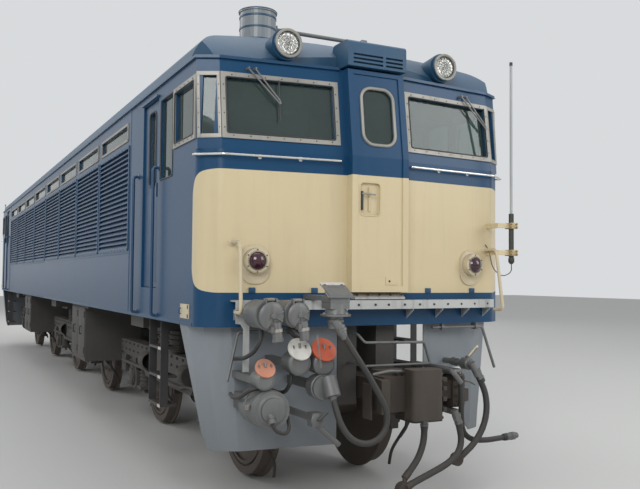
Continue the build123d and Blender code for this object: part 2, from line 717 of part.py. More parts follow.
def make_headlamp():
    x, y, z = HEADLAMP
    ring = Pos(x, y, z) * Rot(-90, 0, 0) * Cylinder(HEADLAMP_RING, 60, align=FROM_START)
    ring = ring - Pos(x, y - 1, z) * Rot(-90, 0, 0) * Cylinder(HEADLAMP_LENS + 4, 31, align=FROM_START)
    tail = Pos(x, y + 60, z) * Rot(-90, 0, 0) * Cone(HEADLAMP_RING + 12, 70, 560, align=FROM_START)
    collar = Pos(x, y + 40, z) * Rot(-90, 0, 0) * Cylinder(HEADLAMP_RING + 12, 30, align=FROM_START)
    return (ring + collar + tail) - ROOF_AT_END


def make_headlamp_lens():
    x, y, z = HEADLAMP
    return Pos(x, y + 8, z) * Rot(-90, 0, 0) * Cylinder(HEADLAMP_LENS + 4, 22, align=FROM_START)


lamps = []
lenses = []
for s in both_sides(make_headlamp()):
    lamps.extend(both_ends(s))
for s in both_sides(make_headlamp_lens()):
    lenses.extend(both_ends(s))
keep("headlamp_housings", lamps)
keep("headlamp_lenses", lenses)


def make_tail_lamp():
    plate = block(-113.5, 113.5, -12, 0, -171, 124)
    plate = fillet(plate.edges().filter_by(Axis.Y), 100.0)
    body = Rot(90, 0, 0) * Cylinder(92, 70, align=FROM_START)
    bore = Pos(0, -55, 0) * Rot(90, 0, 0) * Cylinder(68, 30, align=FROM_START)
    return on_face(*TAIL_LAMP) * (plate + body - bore)


def make_tail_lens():
    base = Pos(0, -55, 0) * Rot(90, 0, 0) * Cylinder(68, 15, align=FROM_START)
    dome = Pos(0, -30, 0) * Sphere(78) & block(-68, 68, -120, -70, -68, 68)
    return on_face(*TAIL_LAMP) * (base + dome)


lamps = []
lenses = []
for s in both_sides(make_tail_lamp()):
    lamps.extend(both_ends(s))
for s in both_sides(make_tail_lens()):
    lenses.extend(both_ends(s))
keep("tail_lamps", lamps)
keep("tail_lenses", lenses)

# Handrails, bright rods, wipers

RAIL_BAR = 14.0


FRONT_RAIL_X = (HALF_WIDTH - 238.0, HALF_WIDTH - 225.0)
RAIL_PROUD = 59.0
RAIL_TOP = 1994.0
RAIL_LOW = 1484.0
GRAB_PROUD = 50.0
GRAB_Z = (1407.0, BELT_HEIGHT - 12.0)
STRIP_Z = BELT_HEIGHT - 47.0
STRIP_PROUD = 45.0
STRIP_BAR = 9.0


def make_handrails():
    """Bent rails beside the cab front, grab rails of the side doors, and the strip under the windows."""
    rails = []
    head_x, foot_x = FRONT_RAIL_X
    front = bent_bar([(head_x, face_back(head_x, RAIL_TOP), RAIL_TOP), (head_x, -RAIL_PROUD, RAIL_TOP),
                      (foot_x, -133, RAIL_LOW), (foot_x, -15, RAIL_LOW)], RAIL_BAR, 45.0)
    rails.extend(both_sides(front - lower_body(0.0)))
    for y in (DOOR_Y[0] - 33, DOOR_Y[1] + 150):
        out = HALF_WIDTH + GRAB_PROUD
        grab = bent_bar([(HALF_WIDTH, y, GRAB_Z[0]), (out, y, GRAB_Z[0]), (out, y, GRAB_Z[1]),
                         (HALF_WIDTH, y, GRAB_Z[1])], RAIL_BAR, 30.0)
        rails.extend(both_sides(grab))
    root = face_back(330, STRIP_Z)
    corner = face_back(CORNER_X, STRIP_Z) - STRIP_PROUD
    strip = bent_bar([(318, root, STRIP_Z), (318, root - STRIP_PROUD, STRIP_Z), (CORNER_X, corner, STRIP_Z),
                      (HALF_WIDTH + 40, 215, STRIP_Z), (HALF_WIDTH, 262, STRIP_Z)], STRIP_BAR, 14.0)
    rails.extend(both_sides(strip - lower_body(0.0)))
    return rails


LEVER_Y = 75.0
LEVER_BAR = 12.0
LEVER_Z = 1334.0


def make_uncoupling_lever():
    """Lever under the body's edge of one corner, with the two plates that carry it."""
    bend = HALF_WIDTH - 283
    lever = bent_bar([(600, LEVER_Y, LEVER_Z), (bend, LEVER_Y, LEVER_Z), (bend + 35, LEVER_Y - 15, LEVER_Z - 126),
                      (bend + 97, LEVER_Y - 45, 983)], LEVER_BAR, 25.0)
    for x in (700, 1050):
        plate = block(x - 8, x + 8, LEVER_Y - 15, face_back(x, 0) + 40, LEVER_Z - 20, BODY_BOTTOM - RUNNING_GAP)
        lever = lever + plate
    return lever


rails = []
for s in make_handrails():
    rails.extend(both_ends(s))
for s in both_sides(make_uncoupling_lever()):
    rails.append(at_front(s))
keep("handrails", rails)


# Each wiper: side, place of its pivots and of its blade's foot
WIPERS = ((-1, 1036.0, 796.0), (1, 936.0, 1204.0))
WIPER_ARMS = 55.0
WIPER_PROUD = 30.0
WIPER_TOP = PANE_Z[1] + 38.0
WIPER_FOOT = PANE_Z[0] + 287.0


def make_wipers():
    """Twin-arm wipers hung from the head of each front window."""
    wipers = []
    for side, pivot_x, foot_x in WIPERS:
        arms = []
        for n in (0, 1):
            x = side * pivot_x + n * WIPER_ARMS
            back = face_back(x, WIPER_TOP)
            end = (side * foot_x, face_back(foot_x, WIPER_FOOT) - WIPER_PROUD, WIPER_FOOT + n * 22)
            knee = (x, back - WIPER_PROUD, WIPER_TOP)
            arms.append(bar(knee, end, 5.0, 4))
            arms.append(bar((x, back - 2, WIPER_TOP), (x, back - WIPER_PROUD - 5, WIPER_TOP), 9.0, 6))
        wipers.append(arms[0] + arms[1] + arms[2] + arms[3])
    return wipers


wipers = []
for s in make_wipers():
    wipers.extend(both_ends(s))
keep("wipers", wipers)

# Ledge and folded plate across the face

LEDGE_X = HALF_WIDTH - 229.0
LEDGE_Z = (1500.0, 1569.0)
LEDGE_PROUD = 115.0
LEDGE_THICK = 12.0


def make_ledge():
    z0, z1 = LEDGE_Z
    window = block(-LEDGE_X, LEDGE_X, -200, 300, z0, z1)
    strip = prism_z(plan(LEDGE_PROUD, 0.0, 500), z0, z1) - prism_z(plan(0.0, 0.0, 600), z0 - 1, z1 + 1)
    hollow = prism_z(plan(LEDGE_PROUD - LEDGE_THICK, 0.0, 500), z0 - 1, z1 - LEDGE_THICK)
    return (strip - hollow) & window


def make_fold_plate():
    return prism_x([(0, 1575), (0, 1628), (-70, 1590), (-70, 1575)], -215, 240)


HANGER_Y = (-12.0, -2.0)


def make_ledge_hanger():
    """Flat bar that hangs from the ledge's end, broad at its head."""
    top = LEDGE_Z[0] - RUNNING_GAP
    return prism_y([(-1168, top), (-1062, top), (-1062, 1050), (-1108, 1050), (-1108, 1360), (-1130, 1395),
                    (-1168, 1400)], HANGER_Y[0], HANGER_Y[1])


keep("front_ledges", both_ends(make_ledge()) + both_ends(make_fold_plate()) + [at_front(make_ledge_hanger())])

# Skirts

SKIRT_THICK = 12.0
SKIRT_BOTTOM = 440.0
SKIRT_INNER = 560.0


# Plan points of the skirt's head and foot: how far in from the body's side, and how far back
SKIRT_TOP = ((None, 118), (270, 195), (90, 290), (12, 430), (12, 760), (None, 760))
SKIRT_FOOT = ((None, 118), (340, 185), (210, 250), (130, 370), (130, 760), (None, 760))
SKIRT_START = 270.0
# How far each plan point moves in x and y as the plate's thickness is taken off
SKIRT_INSET = ((0, 1), (0, 1), (-0.7, 0.7), (-1, 0), (-1, 0), (0, 0))


def skirt_volume(inset, side=1):
    """Space inside one corner's skirt, from its foot to the body."""
    sections = []
    for plan_points, z in ((SKIRT_FOOT, SKIRT_BOTTOM), (SKIRT_TOP, BODY_BOTTOM)):
        moved = []
        for (into, y), (dx, dy) in zip(plan_points, SKIRT_INSET):
            x = SKIRT_START if into is None else HALF_WIDTH - into
            moved.append(Vector(side * (x + inset * dx), y + inset * dy, z))
        sections.append(Face(Wire.make_polygon(moved, close=True)))
    return loft(sections, ruled=True)


# Inner edge of each front plate as (x, z) points, from the body down to the foot
PLAIN_EDGE = ((SKIRT_INNER, BODY_BOTTOM + 5), (SKIRT_INNER, 520), (SKIRT_INNER + 90, SKIRT_BOTTOM - 5))
CUT_EDGE = ((SKIRT_INNER, BODY_BOTTOM + 5), (SKIRT_INNER, 986), (985, 986), (985, 540), (1060, SKIRT_BOTTOM - 5))
WIDE_EDGE = ((DRAFT_OUT + 12, BODY_BOTTOM + 5), (DRAFT_OUT + 12, SKIRT_BOTTOM - 5))


def make_skirt(edge):
    """Skirt of the +X corner, its front plate cut along the given inner edge."""
    shell = skirt_volume(0) - skirt_volume(SKIRT_THICK)
    keep_side = prism_x([(0, SKIRT_BOTTOM - 10), (330, SKIRT_BOTTOM - 10), (400, 620), (651, BODY_BOTTOM + 10),
                         (0, BODY_BOTTOM + 10)], 200, HALF_WIDTH + 100)
    outline = list(edge) + [(HALF_WIDTH, SKIRT_BOTTOM - 5), (HALF_WIDTH, BODY_BOTTOM + 5)]
    return shell & keep_side & prism_y(outline, 0, 800)


STEP_Y = (DOOR_Y[0] + 70.0, DOOR_Y[1] - 70.0)
STEP_X = (HALF_WIDTH - 220.0, HALF_WIDTH - 70.0)
STEP_HEIGHTS = (620.0, 870.0, 1120.0)
STEP_PLATE = 10.0
SILL_LOW = FLOOR_TOP - FLOOR_THICK - SILL_DEPTH


def make_steps():
    """Steps below one side door: two hangers from the sill and three treads."""
    steps = []
    for y0, y1 in ((STEP_Y[0], STEP_Y[0] + STEP_PLATE), (STEP_Y[1] - STEP_PLATE, STEP_Y[1])):
        steps.append(prism_x([(y0, STEP_HEIGHTS[0] - 20), (y0, SILL_LOW - RUNNING_GAP),
                              (y1, SILL_LOW - RUNNING_GAP), (y1, STEP_HEIGHTS[0] - 20)], STEP_X[1] - 70, STEP_X[1]))
    for z in STEP_HEIGHTS:
        steps.append(block(STEP_X[0], STEP_X[1], STEP_Y[0] + 1, STEP_Y[1] - 1, z - 20, z))
    return steps[0].fuse(*steps[1:])


skirts = [at_front(make_skirt(CUT_EDGE)), at_front(mirror_x(make_skirt(WIDE_EDGE)))]
skirts.extend(at_rear(both_sides(make_skirt(PLAIN_EDGE))))
for s in both_sides(make_steps()):
    skirts.extend(both_ends(s))
keep("skirts", skirts)

# Routes of the hoses and the jumper cable, in the leading face's frame

HOSE = 25.0
CABLE = 22.0

HOSE_ROUTES = {
    "right_hose": [(822, -250, 960), (862, -262, 880), (882, -275, 795), (880, -288, 705), (856, -300, 618),
                   (812, -310, 538), (752, -318, 468), (682, -325, 410), (615, -330, 372)],
    "cross_hose": [(541, -352, 644), (566, -360, 560), (566, -372, 480), (530, -388, 410), (465, -400, 362),
                   (385, -410, 325), (290, -418, 294), (195, -426, 265), (120, -433, 243), (70, -437, 226)],
    "coupler_hose": [(240, -345, 640), (236, -352, 560), (215, -362, 480), (175, -374, 408), (125, -385, 350),
                     (70, -395, 302)],
}
CABLE_ROUTE = [(-545, -485, 1345), (-470, -520, 1210), (-380, -560, 1060), (-300, -585, 915), (-245, -600, 803),
               (-249, -602, 693), (-314, -602, 610), (-415, -595, 581), (-514, -570, 617), (-570, -535, 700),
               (-596, -500, 800), (-605, -455, 905)]


def fitting(route, length, radius):
    """Round end piece on the line of a route's first run, ending where the hose starts."""
    start = Vector(*route[0])
    way = (start - Vector(*route[1])).normalized()
    end = start + way * length
    return rod(tuple(start), tuple(end), radius)


# Couplers


def make_knuckle_head(front):
    """Head with knuckle to +X and guard arm to -X, its pulling face at `front`."""
    z = COUPLER_HEIGHT
    body = block(-150, 150, front + 130, front + 330, z - 130, z + 130)
    knuckle = block(30, 300, front, front + 170, z - 185, z + 185)
    knuckle = fillet(knuckle.edges().filter_by(Axis.Z), 50.0)
    lug = block(90, 290, front + 120, front + 300, z - 150, z + 150)
    guard = prism_z([(-230, front + 30), (-170, front + 10), (-120, front + 150), (-120, front + 300),
                     (-160, front + 300)], z - 120, z + 120)
    return body + knuckle + lug + guard


def make_shank(front):
    z = COUPLER_HEIGHT
    shank = block(-75, 75, front + 300, 260, z - 80, z + 80)
    return shank + block(-DRAFT_HALF, DRAFT_HALF, 200, 300, z - 100, z + 100)


# Where the parts of the second, tight-locking head stand across the loco: body, neck, face
TIGHT_X = (142.0, 418.0, 540.0, 650.0)


def make_dual_coupler():
    """Knuckle head ahead and the tight-locking head turned to the side, on one pivot."""
    z = COUPLER_HEIGHT
    head = make_knuckle_head(-COUPLER_REACH)
    pivot = Pos(0, -190, z) * Cylinder(120, 330)
    arm = block(0, 220, -300, -120, z - 90, z + 90)
    box = block(TIGHT_X[0], TIGHT_X[1], -350, -60, z - 235, z + 123)
    box = fillet(box.edges().filter_by(Axis.Z), 30.0)
    neck = block(TIGHT_X[1] - 1, TIGHT_X[2] + 1, -270, -140, z - 80, z + 60)
    face = block(TIGHT_X[2], TIGHT_X[3], -300, -100, z - 148, z + 109)
    face = fillet(face.edges().filter_by(Axis.X), 20.0)
    wedge = prism_z([(TIGHT_X[3] - 1, -285), (TIGHT_X[3] + 92, -230), (TIGHT_X[3] + 92, -205),
                     (TIGHT_X[3] - 1, -150)], z - 115, z - 20)
    nipple = fitting(HOSE_ROUTES["coupler_hose"], 110, HOSE - 2)
    return head + make_shank(-COUPLER_REACH) + pivot + arm + box + neck + face + wedge + nipple


keep("coupler_front", at_front(make_dual_coupler()))
keep("coupler_rear", at_rear(make_knuckle_head(-COUPLER_REACH) + make_shank(-COUPLER_REACH)))

# Roof gear


ARRESTER = (-680.0, 850.0)
ARRESTER_TOP = CROWN_HEIGHT + 275.0


def make_arrester():
    x, y = ARRESTER
    drum = bar((x, y, SHOULDER_HEIGHT - 25), (x, y, ARRESTER_TOP), 156.0, 32)
    cap = bar((x, y, ARRESTER_TOP), (x, y, ARRESTER_TOP + 12), 165.0, 32)
    return (drum + cap) - ROOF_AT_END


keep("arresters", both_ends(make_arrester()))


VENTILATOR_HALF = 780.0
VENTILATOR_LONG = 1280.0
VENTILATOR_TOP = CROWN_HEIGHT + 165.0
VENTILATOR_PLACES = (-2100.0, -700.0, 700.0, 2100.0)


def make_ventilator(y):
    """Hipped cover over one blower, sitting on the roof."""
    w = VENTILATOR_HALF
    z = VENTILATOR_TOP
    outline = [(-w, z - 290), (-w, z - 50), (80 - w, z), (w - 80, z), (w, z - 50), (w, z - 290)]
    return prism_y(outline, y - VENTILATOR_LONG / 2, y + VENTILATOR_LONG / 2) - ROOF_OUTER


keep("roof_ventilators", [Pos(0, 0, RAIL) * make_ventilator(y) for y in VENTILATOR_PLACES])

WHISTLE_Z = (EAVES_HEIGHT + 18.0, EAVES_HEIGHT + 227.0)
WHISTLE_SLOTS = (39.0, 71.0, 103.0)


def make_door_louvre_box():
    """Box over the gangway door, with slots for the whistles behind it."""
    box = block(-268, 268, -30, 240, WHISTLE_Z[0], WHISTLE_Z[1])
    top = box.edges().filter_by(Axis.X).group_by(Axis.Z)[-1]
    box = fillet(top, 40.0)
    for x0, x1 in ((-220, 50), (75, 235)):
        for rise in WHISTLE_SLOTS:
            z = EAVES_HEIGHT + rise
            box = box - block(x0, x1, -40, -5, z, z + 16)
    return box - ROOF_AT_END - upper_body(0.0)


keep("whistle_boxes", both_ends(make_door_louvre_box()))

# Pantographs: diamond frames, drawn about the pantograph's middle

HEAD_STRIP_HALF = 640.0
HORN_REACH = 270.0
TUBE = 22.0
ARM_TUBE = 18.0


def panto_angle():
    return math.asin((PANTO_HEAD_Z - PANTO_PIVOT_Z) / (2 * PANTO_ARM))


KNEE_Y = PANTO_HALF_BASE + PANTO_ARM * math.cos(panto_angle())
KNEE_Z = PANTO_PIVOT_Z + PANTO_ARM * math.sin(panto_angle())
SIDE_LUG = 20.0
KNEE_HALF = 27.0


def make_panto_base():
    w = PANTO_HALF_WIDTH + 60
    z = PANTO_PIVOT_Z - 60
    frame = block(-w, w, PANTO_HALF_BASE - 25, PANTO_HALF_BASE + 25, z - 25, z + 25)
    frame = frame + mirror(frame, about=Plane.XZ)
    for side in (-1, 1):
        frame = frame + block(side * (w - 40), side * w, -650, 650, z - 25, z + 25)
        for sy in (-1, 1):
            y = sy * PANTO_HALF_BASE
            frame = frame + block(side * (PANTO_HALF_WIDTH + RUNNING_GAP), side * (PANTO_HALF_WIDTH + SIDE_LUG),
                                  y - 30, y + 30, z, PANTO_PIVOT_Z + 30)
            foot = (side * (w - 20), sy * 560, SHOULDER_HEIGHT - 65)
            frame = frame + bar(foot, (foot[0], foot[1], z - 24), 55.0, 12)
    return frame


def lower_frame(sign):
    """Lower frame whose shaft is at y = sign * PANTO_HALF_BASE."""
    y0 = sign * PANTO_HALF_BASE
    y1 = sign * KNEE_Y
    shaft = rod((-PANTO_HALF_WIDTH, y0, PANTO_PIVOT_Z), (PANTO_HALF_WIDTH, y0, PANTO_PIVOT_Z), TUBE)
    frame = shaft
    for side in (-1, 1):
        x = side * (PANTO_HALF_WIDTH - 40)
        frame = frame + rod((x, y0 + sign * 5, PANTO_PIVOT_Z), (x, y1, KNEE_Z), TUBE - 3)
        frame = frame + block(x - KNEE_HALF, x + KNEE_HALF, y1 - 30, y1 + 30, KNEE_Z - 30, KNEE_Z + 30)
    return frame


def upper_frame(sign):
    """Upper frame from the knee back to the head."""
    y0 = sign * KNEE_Y
    y1 = sign * PANTO_HALF_BASE
    half = PANTO_HALF_WIDTH - 40 - KNEE_HALF - RUNNING_GAP
    frame = rod((-half, y0, KNEE_Z), (half, y0, KNEE_Z), ARM_TUBE)
    head_half = 300.0
    for side in (-1, 1):
        arm_foot = (side * (half - 20), y0, KNEE_Z)
        frame = frame + rod(arm_foot, (side * (head_half - 40), y1, PANTO_HEAD_Z), ARM_TUBE)
    if sign < 0:
        frame = frame + rod((-head_half, y1, PANTO_HEAD_Z), (head_half, y1, PANTO_HEAD_Z), ARM_TUBE)
    else:
        for side in (-1, 1):
            stub = (side * (head_half - 40), y1, PANTO_HEAD_Z)
            frame = frame + rod(stub, (side * head_half, y1, PANTO_HEAD_Z), ARM_TUBE)
    return frame


def make_head():
    """Collector head: two strips on a light frame, with turned-down horns."""
    z = PANTO_HEAD_Z + 45
    pieces = None
    for sy in (-1, 1):
        y = sy * PANTO_HALF_BASE
        strip = block(-HEAD_STRIP_HALF, HEAD_STRIP_HALF, y - 30, y + 30, z - 15, z + 15)
        for side in (-1, 1):
            horn = bent_bar([(side * (HEAD_STRIP_HALF - 20), y, z - 4), (side * (HEAD_STRIP_HALF + 130), y, z - 4),
                             (side * (HEAD_STRIP_HALF + HORN_REACH), y, z - 130)], 11.0, 60.0, 6)
            strip = strip + horn
        pieces = strip if pieces is None else pieces + strip
    for side in (-1, 1):
        x = side * (300 + RUNNING_GAP + 10)
        bar = block(x - 10, x + 10, -PANTO_HALF_BASE - 30, PANTO_HALF_BASE + 30, z - 12, z + 4)
        hanger = block(x - 10, x + 10, -PANTO_HALF_BASE - 20, -PANTO_HALF_BASE + 20, PANTO_HEAD_Z - 20, z)
        pieces = pieces + bar + hanger
    return pieces


PANTO_Y = HALF_LENGTH - PANTO_BACK
PANTO_PARTS = {
    "base": make_panto_base(),
    "lower_lead": lower_frame(-1),
    "lower_trail": lower_frame(1),
    "upper_lead": upper_frame(-1),
    "upper_trail": upper_frame(1),
    "head": make_head(),
}
for part_name, shape in PANTO_PARTS.items():
    placed = Pos(0, -PANTO_Y, 0) * shape
    if part_name == "base":
        placed = placed - ROOF_OUTER
    front_one = Pos(0, 0, RAIL) * placed
    keep("pantograph_1_%s" % part_name, front_one)
    keep("pantograph_2_%s" % part_name, Rot(0, 0, 180) * front_one)

# Wheelsets and bogies

JOURNAL_END = JOURNAL_SPREAD / 2 + 60
WHEEL_BACK = GAUGE / 2 - FLANGE_WIDTH - 6
WHEEL_FACE = WHEEL_BACK + WHEEL_WIDTH
RIM = 70.0
WEB_IN = 22.0
HUB_RADIUS = 130.0
HUB_PROUD = 15.0


def make_wheelset():
    r = WHEEL_DIAMETER / 2
    half = [
        (0, AXLE_RADIUS),
        (WHEEL_BACK, AXLE_RADIUS),
        (WHEEL_BACK, r + FLANGE_DEPTH),
        (WHEEL_BACK + FLANGE_WIDTH - 14, r + FLANGE_DEPTH),
        (WHEEL_BACK + FLANGE_WIDTH, r + 2),
        (WHEEL_FACE, r - 3),
        (WHEEL_FACE, r - RIM),
        (WHEEL_FACE - WEB_IN, r - RIM),
        (WHEEL_FACE - WEB_IN, HUB_RADIUS),
        (WHEEL_FACE + HUB_PROUD, HUB_RADIUS),
        (WHEEL_FACE + HUB_PROUD, JOURNAL_RADIUS),
        (JOURNAL_END, JOURNAL_RADIUS),
        (JOURNAL_END, 0),
    ]
    outline = [(-x, y) for x, y in reversed(half[1:])] + half
    wire = Wire.make_polygon([Vector(x, 0, y) for x, y in outline], close=True)
    return revolve(Face(wire), axis=Axis.X, revolution_arc=360)


WHEELSET = make_wheelset()
axle_places = []
for n in (-1, 0, 1):
    for m in (-0.5, 0.5):
        axle_places.append(n * BOGIE_SPACING + m * BOGIE_WHEELBASE)
for n, y in enumerate(axle_places):
    keep("wheelset_%d" % (n + 1), Pos(0, y, AXLE_Z + RAIL) * WHEELSET)

BEAM_IN = JOURNAL_SPREAD / 2 - BEAM_WIDTH / 2
BEAM_OUT = BEAM_IN + BEAM_WIDTH
SPRING_TOP = BOLSTER_BOTTOM - SIDE_PAD - RUNNING_GAP
SPRING_RADIUS = 56.0
BODY_SPRING_RADIUS = 102.0


def make_bogie_frame():
    half_base = BOGIE_WHEELBASE / 2
    profile = [(-2080, 820), (-2080, 960), (2080, 960), (2080, 820), (1800, 780), (1060, 780),
               (840, 620), (-840, 620), (-1060, 780), (-1800, 780)]
    frame = None
    for side in (-1, 1):
        beam = prism_x(profile, side * BEAM_IN, side * BEAM_OUT)
        frame = beam if frame is None else frame + beam
        for sy in (-1, 1):
            axle_y = sy * half_base
            housing = block(side * (JOURNAL_END - 130), side * (JOURNAL_END + 30), axle_y - 150, axle_y + 150, 420, 720)
            housing = chamfer(housing.edges().filter_by(Axis.X), 40.0)
            wing = block(side * BEAM_IN, side * BEAM_OUT, axle_y - 340, axle_y + 340, 430, 470)
            housing = housing + wing
            bore = Pos(side * (JOURNAL_END - 130 - 10), axle_y, AXLE_Z) * Rot(0, 90 * side, 0) * Cylinder(
                JOURNAL_RADIUS + SHAFT_GAP, 140 + RUNNING_GAP, align=(Align.CENTER, Align.CENTER, Align.MIN))
            relief = Pos(side * (JOURNAL_END - 170), axle_y, AXLE_Z) * Rot(0, 90 * side, 0) * Cylinder(
                AXLE_RADIUS + 15, 60, align=(Align.CENTER, Align.CENTER, Align.MIN))
            housing = housing - bore - relief
            link = block(side * BEAM_IN, side * BEAM_OUT, axle_y - 90, axle_y + 90, 700, 800)
            frame = frame + housing + link
            for dy in (-260, 260):
                x = side * (BEAM_IN + BEAM_OUT) / 2
                frame = frame + bar((x, axle_y + dy, 465), (x, axle_y + dy, 795), SPRING_RADIUS, 12)
            for dy in (-1, 1):
                y = axle_y + dy * (WHEEL_DIAMETER / 2 + 45)
                shoe = block(side * (WHEEL_BACK + 40), side * (WHEEL_FACE - 5), y - 30, y + 30,
                             AXLE_Z - 150, AXLE_Z + 170)
                shoe = shoe - Pos(side * (WHEEL_BACK + 80), axle_y, AXLE_Z) * Rot(0, 90, 0) * Cylinder(
                    WHEEL_DIAMETER / 2 + 8, 200)
                hanger = block(side * (WHEEL_BACK + 60), side * (BEAM_IN + 20), y + dy * 15, y + dy * 55,
                               AXLE_Z + 110, AXLE_Z + 270)
                frame = frame + shoe + hanger
        for dy in (-200, 200):
            x = side * (BEAM_IN + BEAM_OUT) / 2
            frame = frame + bar((x, dy, 955), (x, dy, SPRING_TOP), BODY_SPRING_RADIUS, 16)
    transom = block(-BEAM_IN, BEAM_IN, -230, 230, 700, 940)
    bore = Pos(0, 0, 820) * Cylinder(PIVOT_RADIUS + SHAFT_GAP, 400)
    frame = frame + (transom - bore)
    for sy in (-1, 1):
        frame = frame + block(-BEAM_IN, BEAM_IN, sy * 1990, sy * 2080, 830, 950)
    return frame


BOGIE = make_bogie_frame()


def make_motors():
    pieces = []
    for sy in (-1, 1):
        y = sy * 760.0
        motor = Pos(0, y, 600) * Rot(0, 90, 0) * Cylinder(300, 760)
        nose = block(-200, 200, sy * 230, sy * 520, 720, 860)
        pieces.append(motor + nose)
    return pieces


MOTORS = make_motors()
for n in (-1, 0, 1):
    keep("bogie_frame_%d" % (n + 2), Pos(0, n * BOGIE_SPACING, RAIL) * BOGIE)
    keep("traction_motors_%d" % (n + 2), [Pos(0, n * BOGIE_SPACING, RAIL) * m for m in MOTORS])

# Underfloor equipment between the bogies


def make_underfloor():
    pieces = []
    top = FLOOR_TOP - FLOOR_THICK - SILL_DEPTH - 60
    for sy in (-1, 1):
        y = sy * BOGIE_SPACING / 2
        for side in (-1, 1):
            case = block(side * 600, side * (HALF_WIDTH - 80), y - 500, y + 500, 640, SILL_LOW)
            pieces.append(case)
        tank = Pos(0, y, 1060) * Rot(90, 0, 0) * Cylinder(200, 1000)
        strap = block(-250, 250, y - 300, y - 240, 1060, top) + block(-250, 250, y + 240, y + 300, 1060, top)
        pieces.append(tank + strap)
    return pieces


keep("underfloor_cases", [Pos(0, 0, RAIL) * p for p in make_underfloor()])

# Jumper sockets, hoses and antenna of the leading end

# Sockets that stand out from the ledge: x, z, radius
LEDGE_SOCKETS = ((-1072.0, 1480.0, 100.0), (-868.0, 1485.0, 90.0))
SOCKET_FRONT = -430.0
SOCKET_BACK = -150.0
NECK = 55.0
# Sockets on the skirt plate: x, z, radius, front, back, lid radius
SKIRT_SOCKETS = (
    (-831.0, 1140.0, 78.0, -400.0, -240.0, 84.0),
    (-640.0, 1130.0, 78.0, -400.0, -240.0, 90.0),
    (-1085.0, 1032.0, 62.0, -390.0, -240.0, 70.0),
)
STORAGE_DRUM = (-1040.0, 830.0, 130.0, -400.0, -90.0)
COCK = (-706.0, 746.0)


def ledge_socket(x, z, radius):
    """Drum with a flanged lid, on a neck from the ledge."""
    drum = drum_y(x, z, radius, SOCKET_FRONT + 20, SOCKET_BACK)
    lid = drum_y(x + 6, z - 6, radius - 14, SOCKET_FRONT - 8, SOCKET_FRONT + 21, 12)
    neck = drum_y(x, z, NECK, SOCKET_BACK - 1, 0, 12) - prism_z(plan(LEDGE_PROUD, 0.0, 500), 1300, 1700)
    plug = bar((x + 40, SOCKET_FRONT + 5, z - 60), (x + 55, SOCKET_FRONT - 5, z - 175), 34.0, 10)
    return drum + lid + neck + plug


def skirt_socket(x, z, radius, front, back, lid_radius):
    """Drum on a bracket from the skirt, its hinged lid standing open above the mouth."""
    drum = drum_y(x, z, radius, front, back, 16)
    lid_centre = (x, front + 20, z + radius + 20)
    lid = Pos(*lid_centre) * Rot(55, 0, 0) * Pos(0, 0, -5) * extrude(RegularPolygon(lid_radius, 16), amount=10)
    hinge = block(x - 22, x + 22, front + 30, front + 80, z + radius - 25, z + radius + 50)
    bracket = block(x - 30, x + 30, back - 1, 300, z - 40, z + 10) - skirt_volume(0, -1)
    return drum + lid + hinge + bracket


def make_jumper_head():
    """Head under its hood, with the bell and the plug that the jumper cable leaves."""
    x, y = -575.0, -430.0
    bell = bar((x, y, 1475), (x, y, 1560), 72.0, 16) + bar((x, y, 1468), (x, y, 1482), 108.0, 20)
    cup = bar((x, y, 1380), (x, y, 1469), 52.0, 12)
    hood = block(x - 75, x + 75, y - 70, y + 70, 1520, 1610)
    arm = block(x - 35, x + 35, y + 60, 200, 1575, 1610) - lower_body(0.0)
    roof = prism_x([(y + 40, 1700), (y + 40, 1690), (y - 90, 1615), (y - 90, 1600), (y - 98, 1600), (y - 98, 1622)],
                   x - 105, x + 85)
    post = block(x - 60, x + 60, y - 10, y + 55, 1600, 1680)
    return bell + cup + hood + arm + roof + post + fitting(CABLE_ROUTE, 110, 34.0)


def make_jumpers():
    pieces = [ledge_socket(*row) for row in LEDGE_SOCKETS]
    pieces.extend(skirt_socket(*row) for row in SKIRT_SOCKETS)
    pieces.append(make_jumper_head())
    x, y, z = CABLE_ROUTE[-1]
    parked = fitting(CABLE_ROUTE[::-1], 140, 60.0) + drum_y(-655, 965, 85.0, y + 32, -290, 16)
    stay = block(-685, -625, -291, 300, z + 30, z + 90) - skirt_volume(0, -1)
    pieces.append(parked + stay)
    x, z, radius, front, back = STORAGE_DRUM
    drum = drum_y(x, z, radius, front, back, 24) + drum_y(x, z, radius - 45, front - 25, front + 1, 16)
    nozzle = bar((x - 23, front - 20, z - 30), (x - 23, front - 55, z - 80), 26.0, 10)
    pad = block(x - 60, x + 60, back - 1, 300, z - 60, z + 60) - skirt_volume(0, -1)
    pieces.append(drum + nozzle + pad)
    x, z = COCK
    cock = block(x - 40, x + 40, -420, -340, z - 48, z + 48) + bar((x, -380, z - 30), (x + 190, -380, z - 195), 20.0)
    pieces.append(cock + (block(x - 20, x + 20, -341, 300, z - 20, z + 20) - skirt_volume(0, -1)))
    return pieces


keep("jumper_sockets", [at_front(p) for p in make_jumpers()])


def make_antenna():
    x, y = HALF_WIDTH - 65.0, -50.0
    inner = HALF_WIDTH - 220
    pole = bar((x, y, 2305), (x, y, 3626), 12.0)
    foot = bar((x, y, 1900), (x, y, 2306), 22.0, 12)
    arms = None
    for z in (1968, 2201):
        reach = block(inner, x + 10, y - 12, y + 12, z - 20, z + 20)
        root = block(inner, inner + 35, y - 12, face_back(inner + 20, z) + 2, z - 20, z + 20)
        arms = reach + root if arms is None else arms + reach + root
    return pole + foot + (arms - lower_body(0.0))


STIRRUP_Y = -150.0
STIRRUP_BAR = 10.0


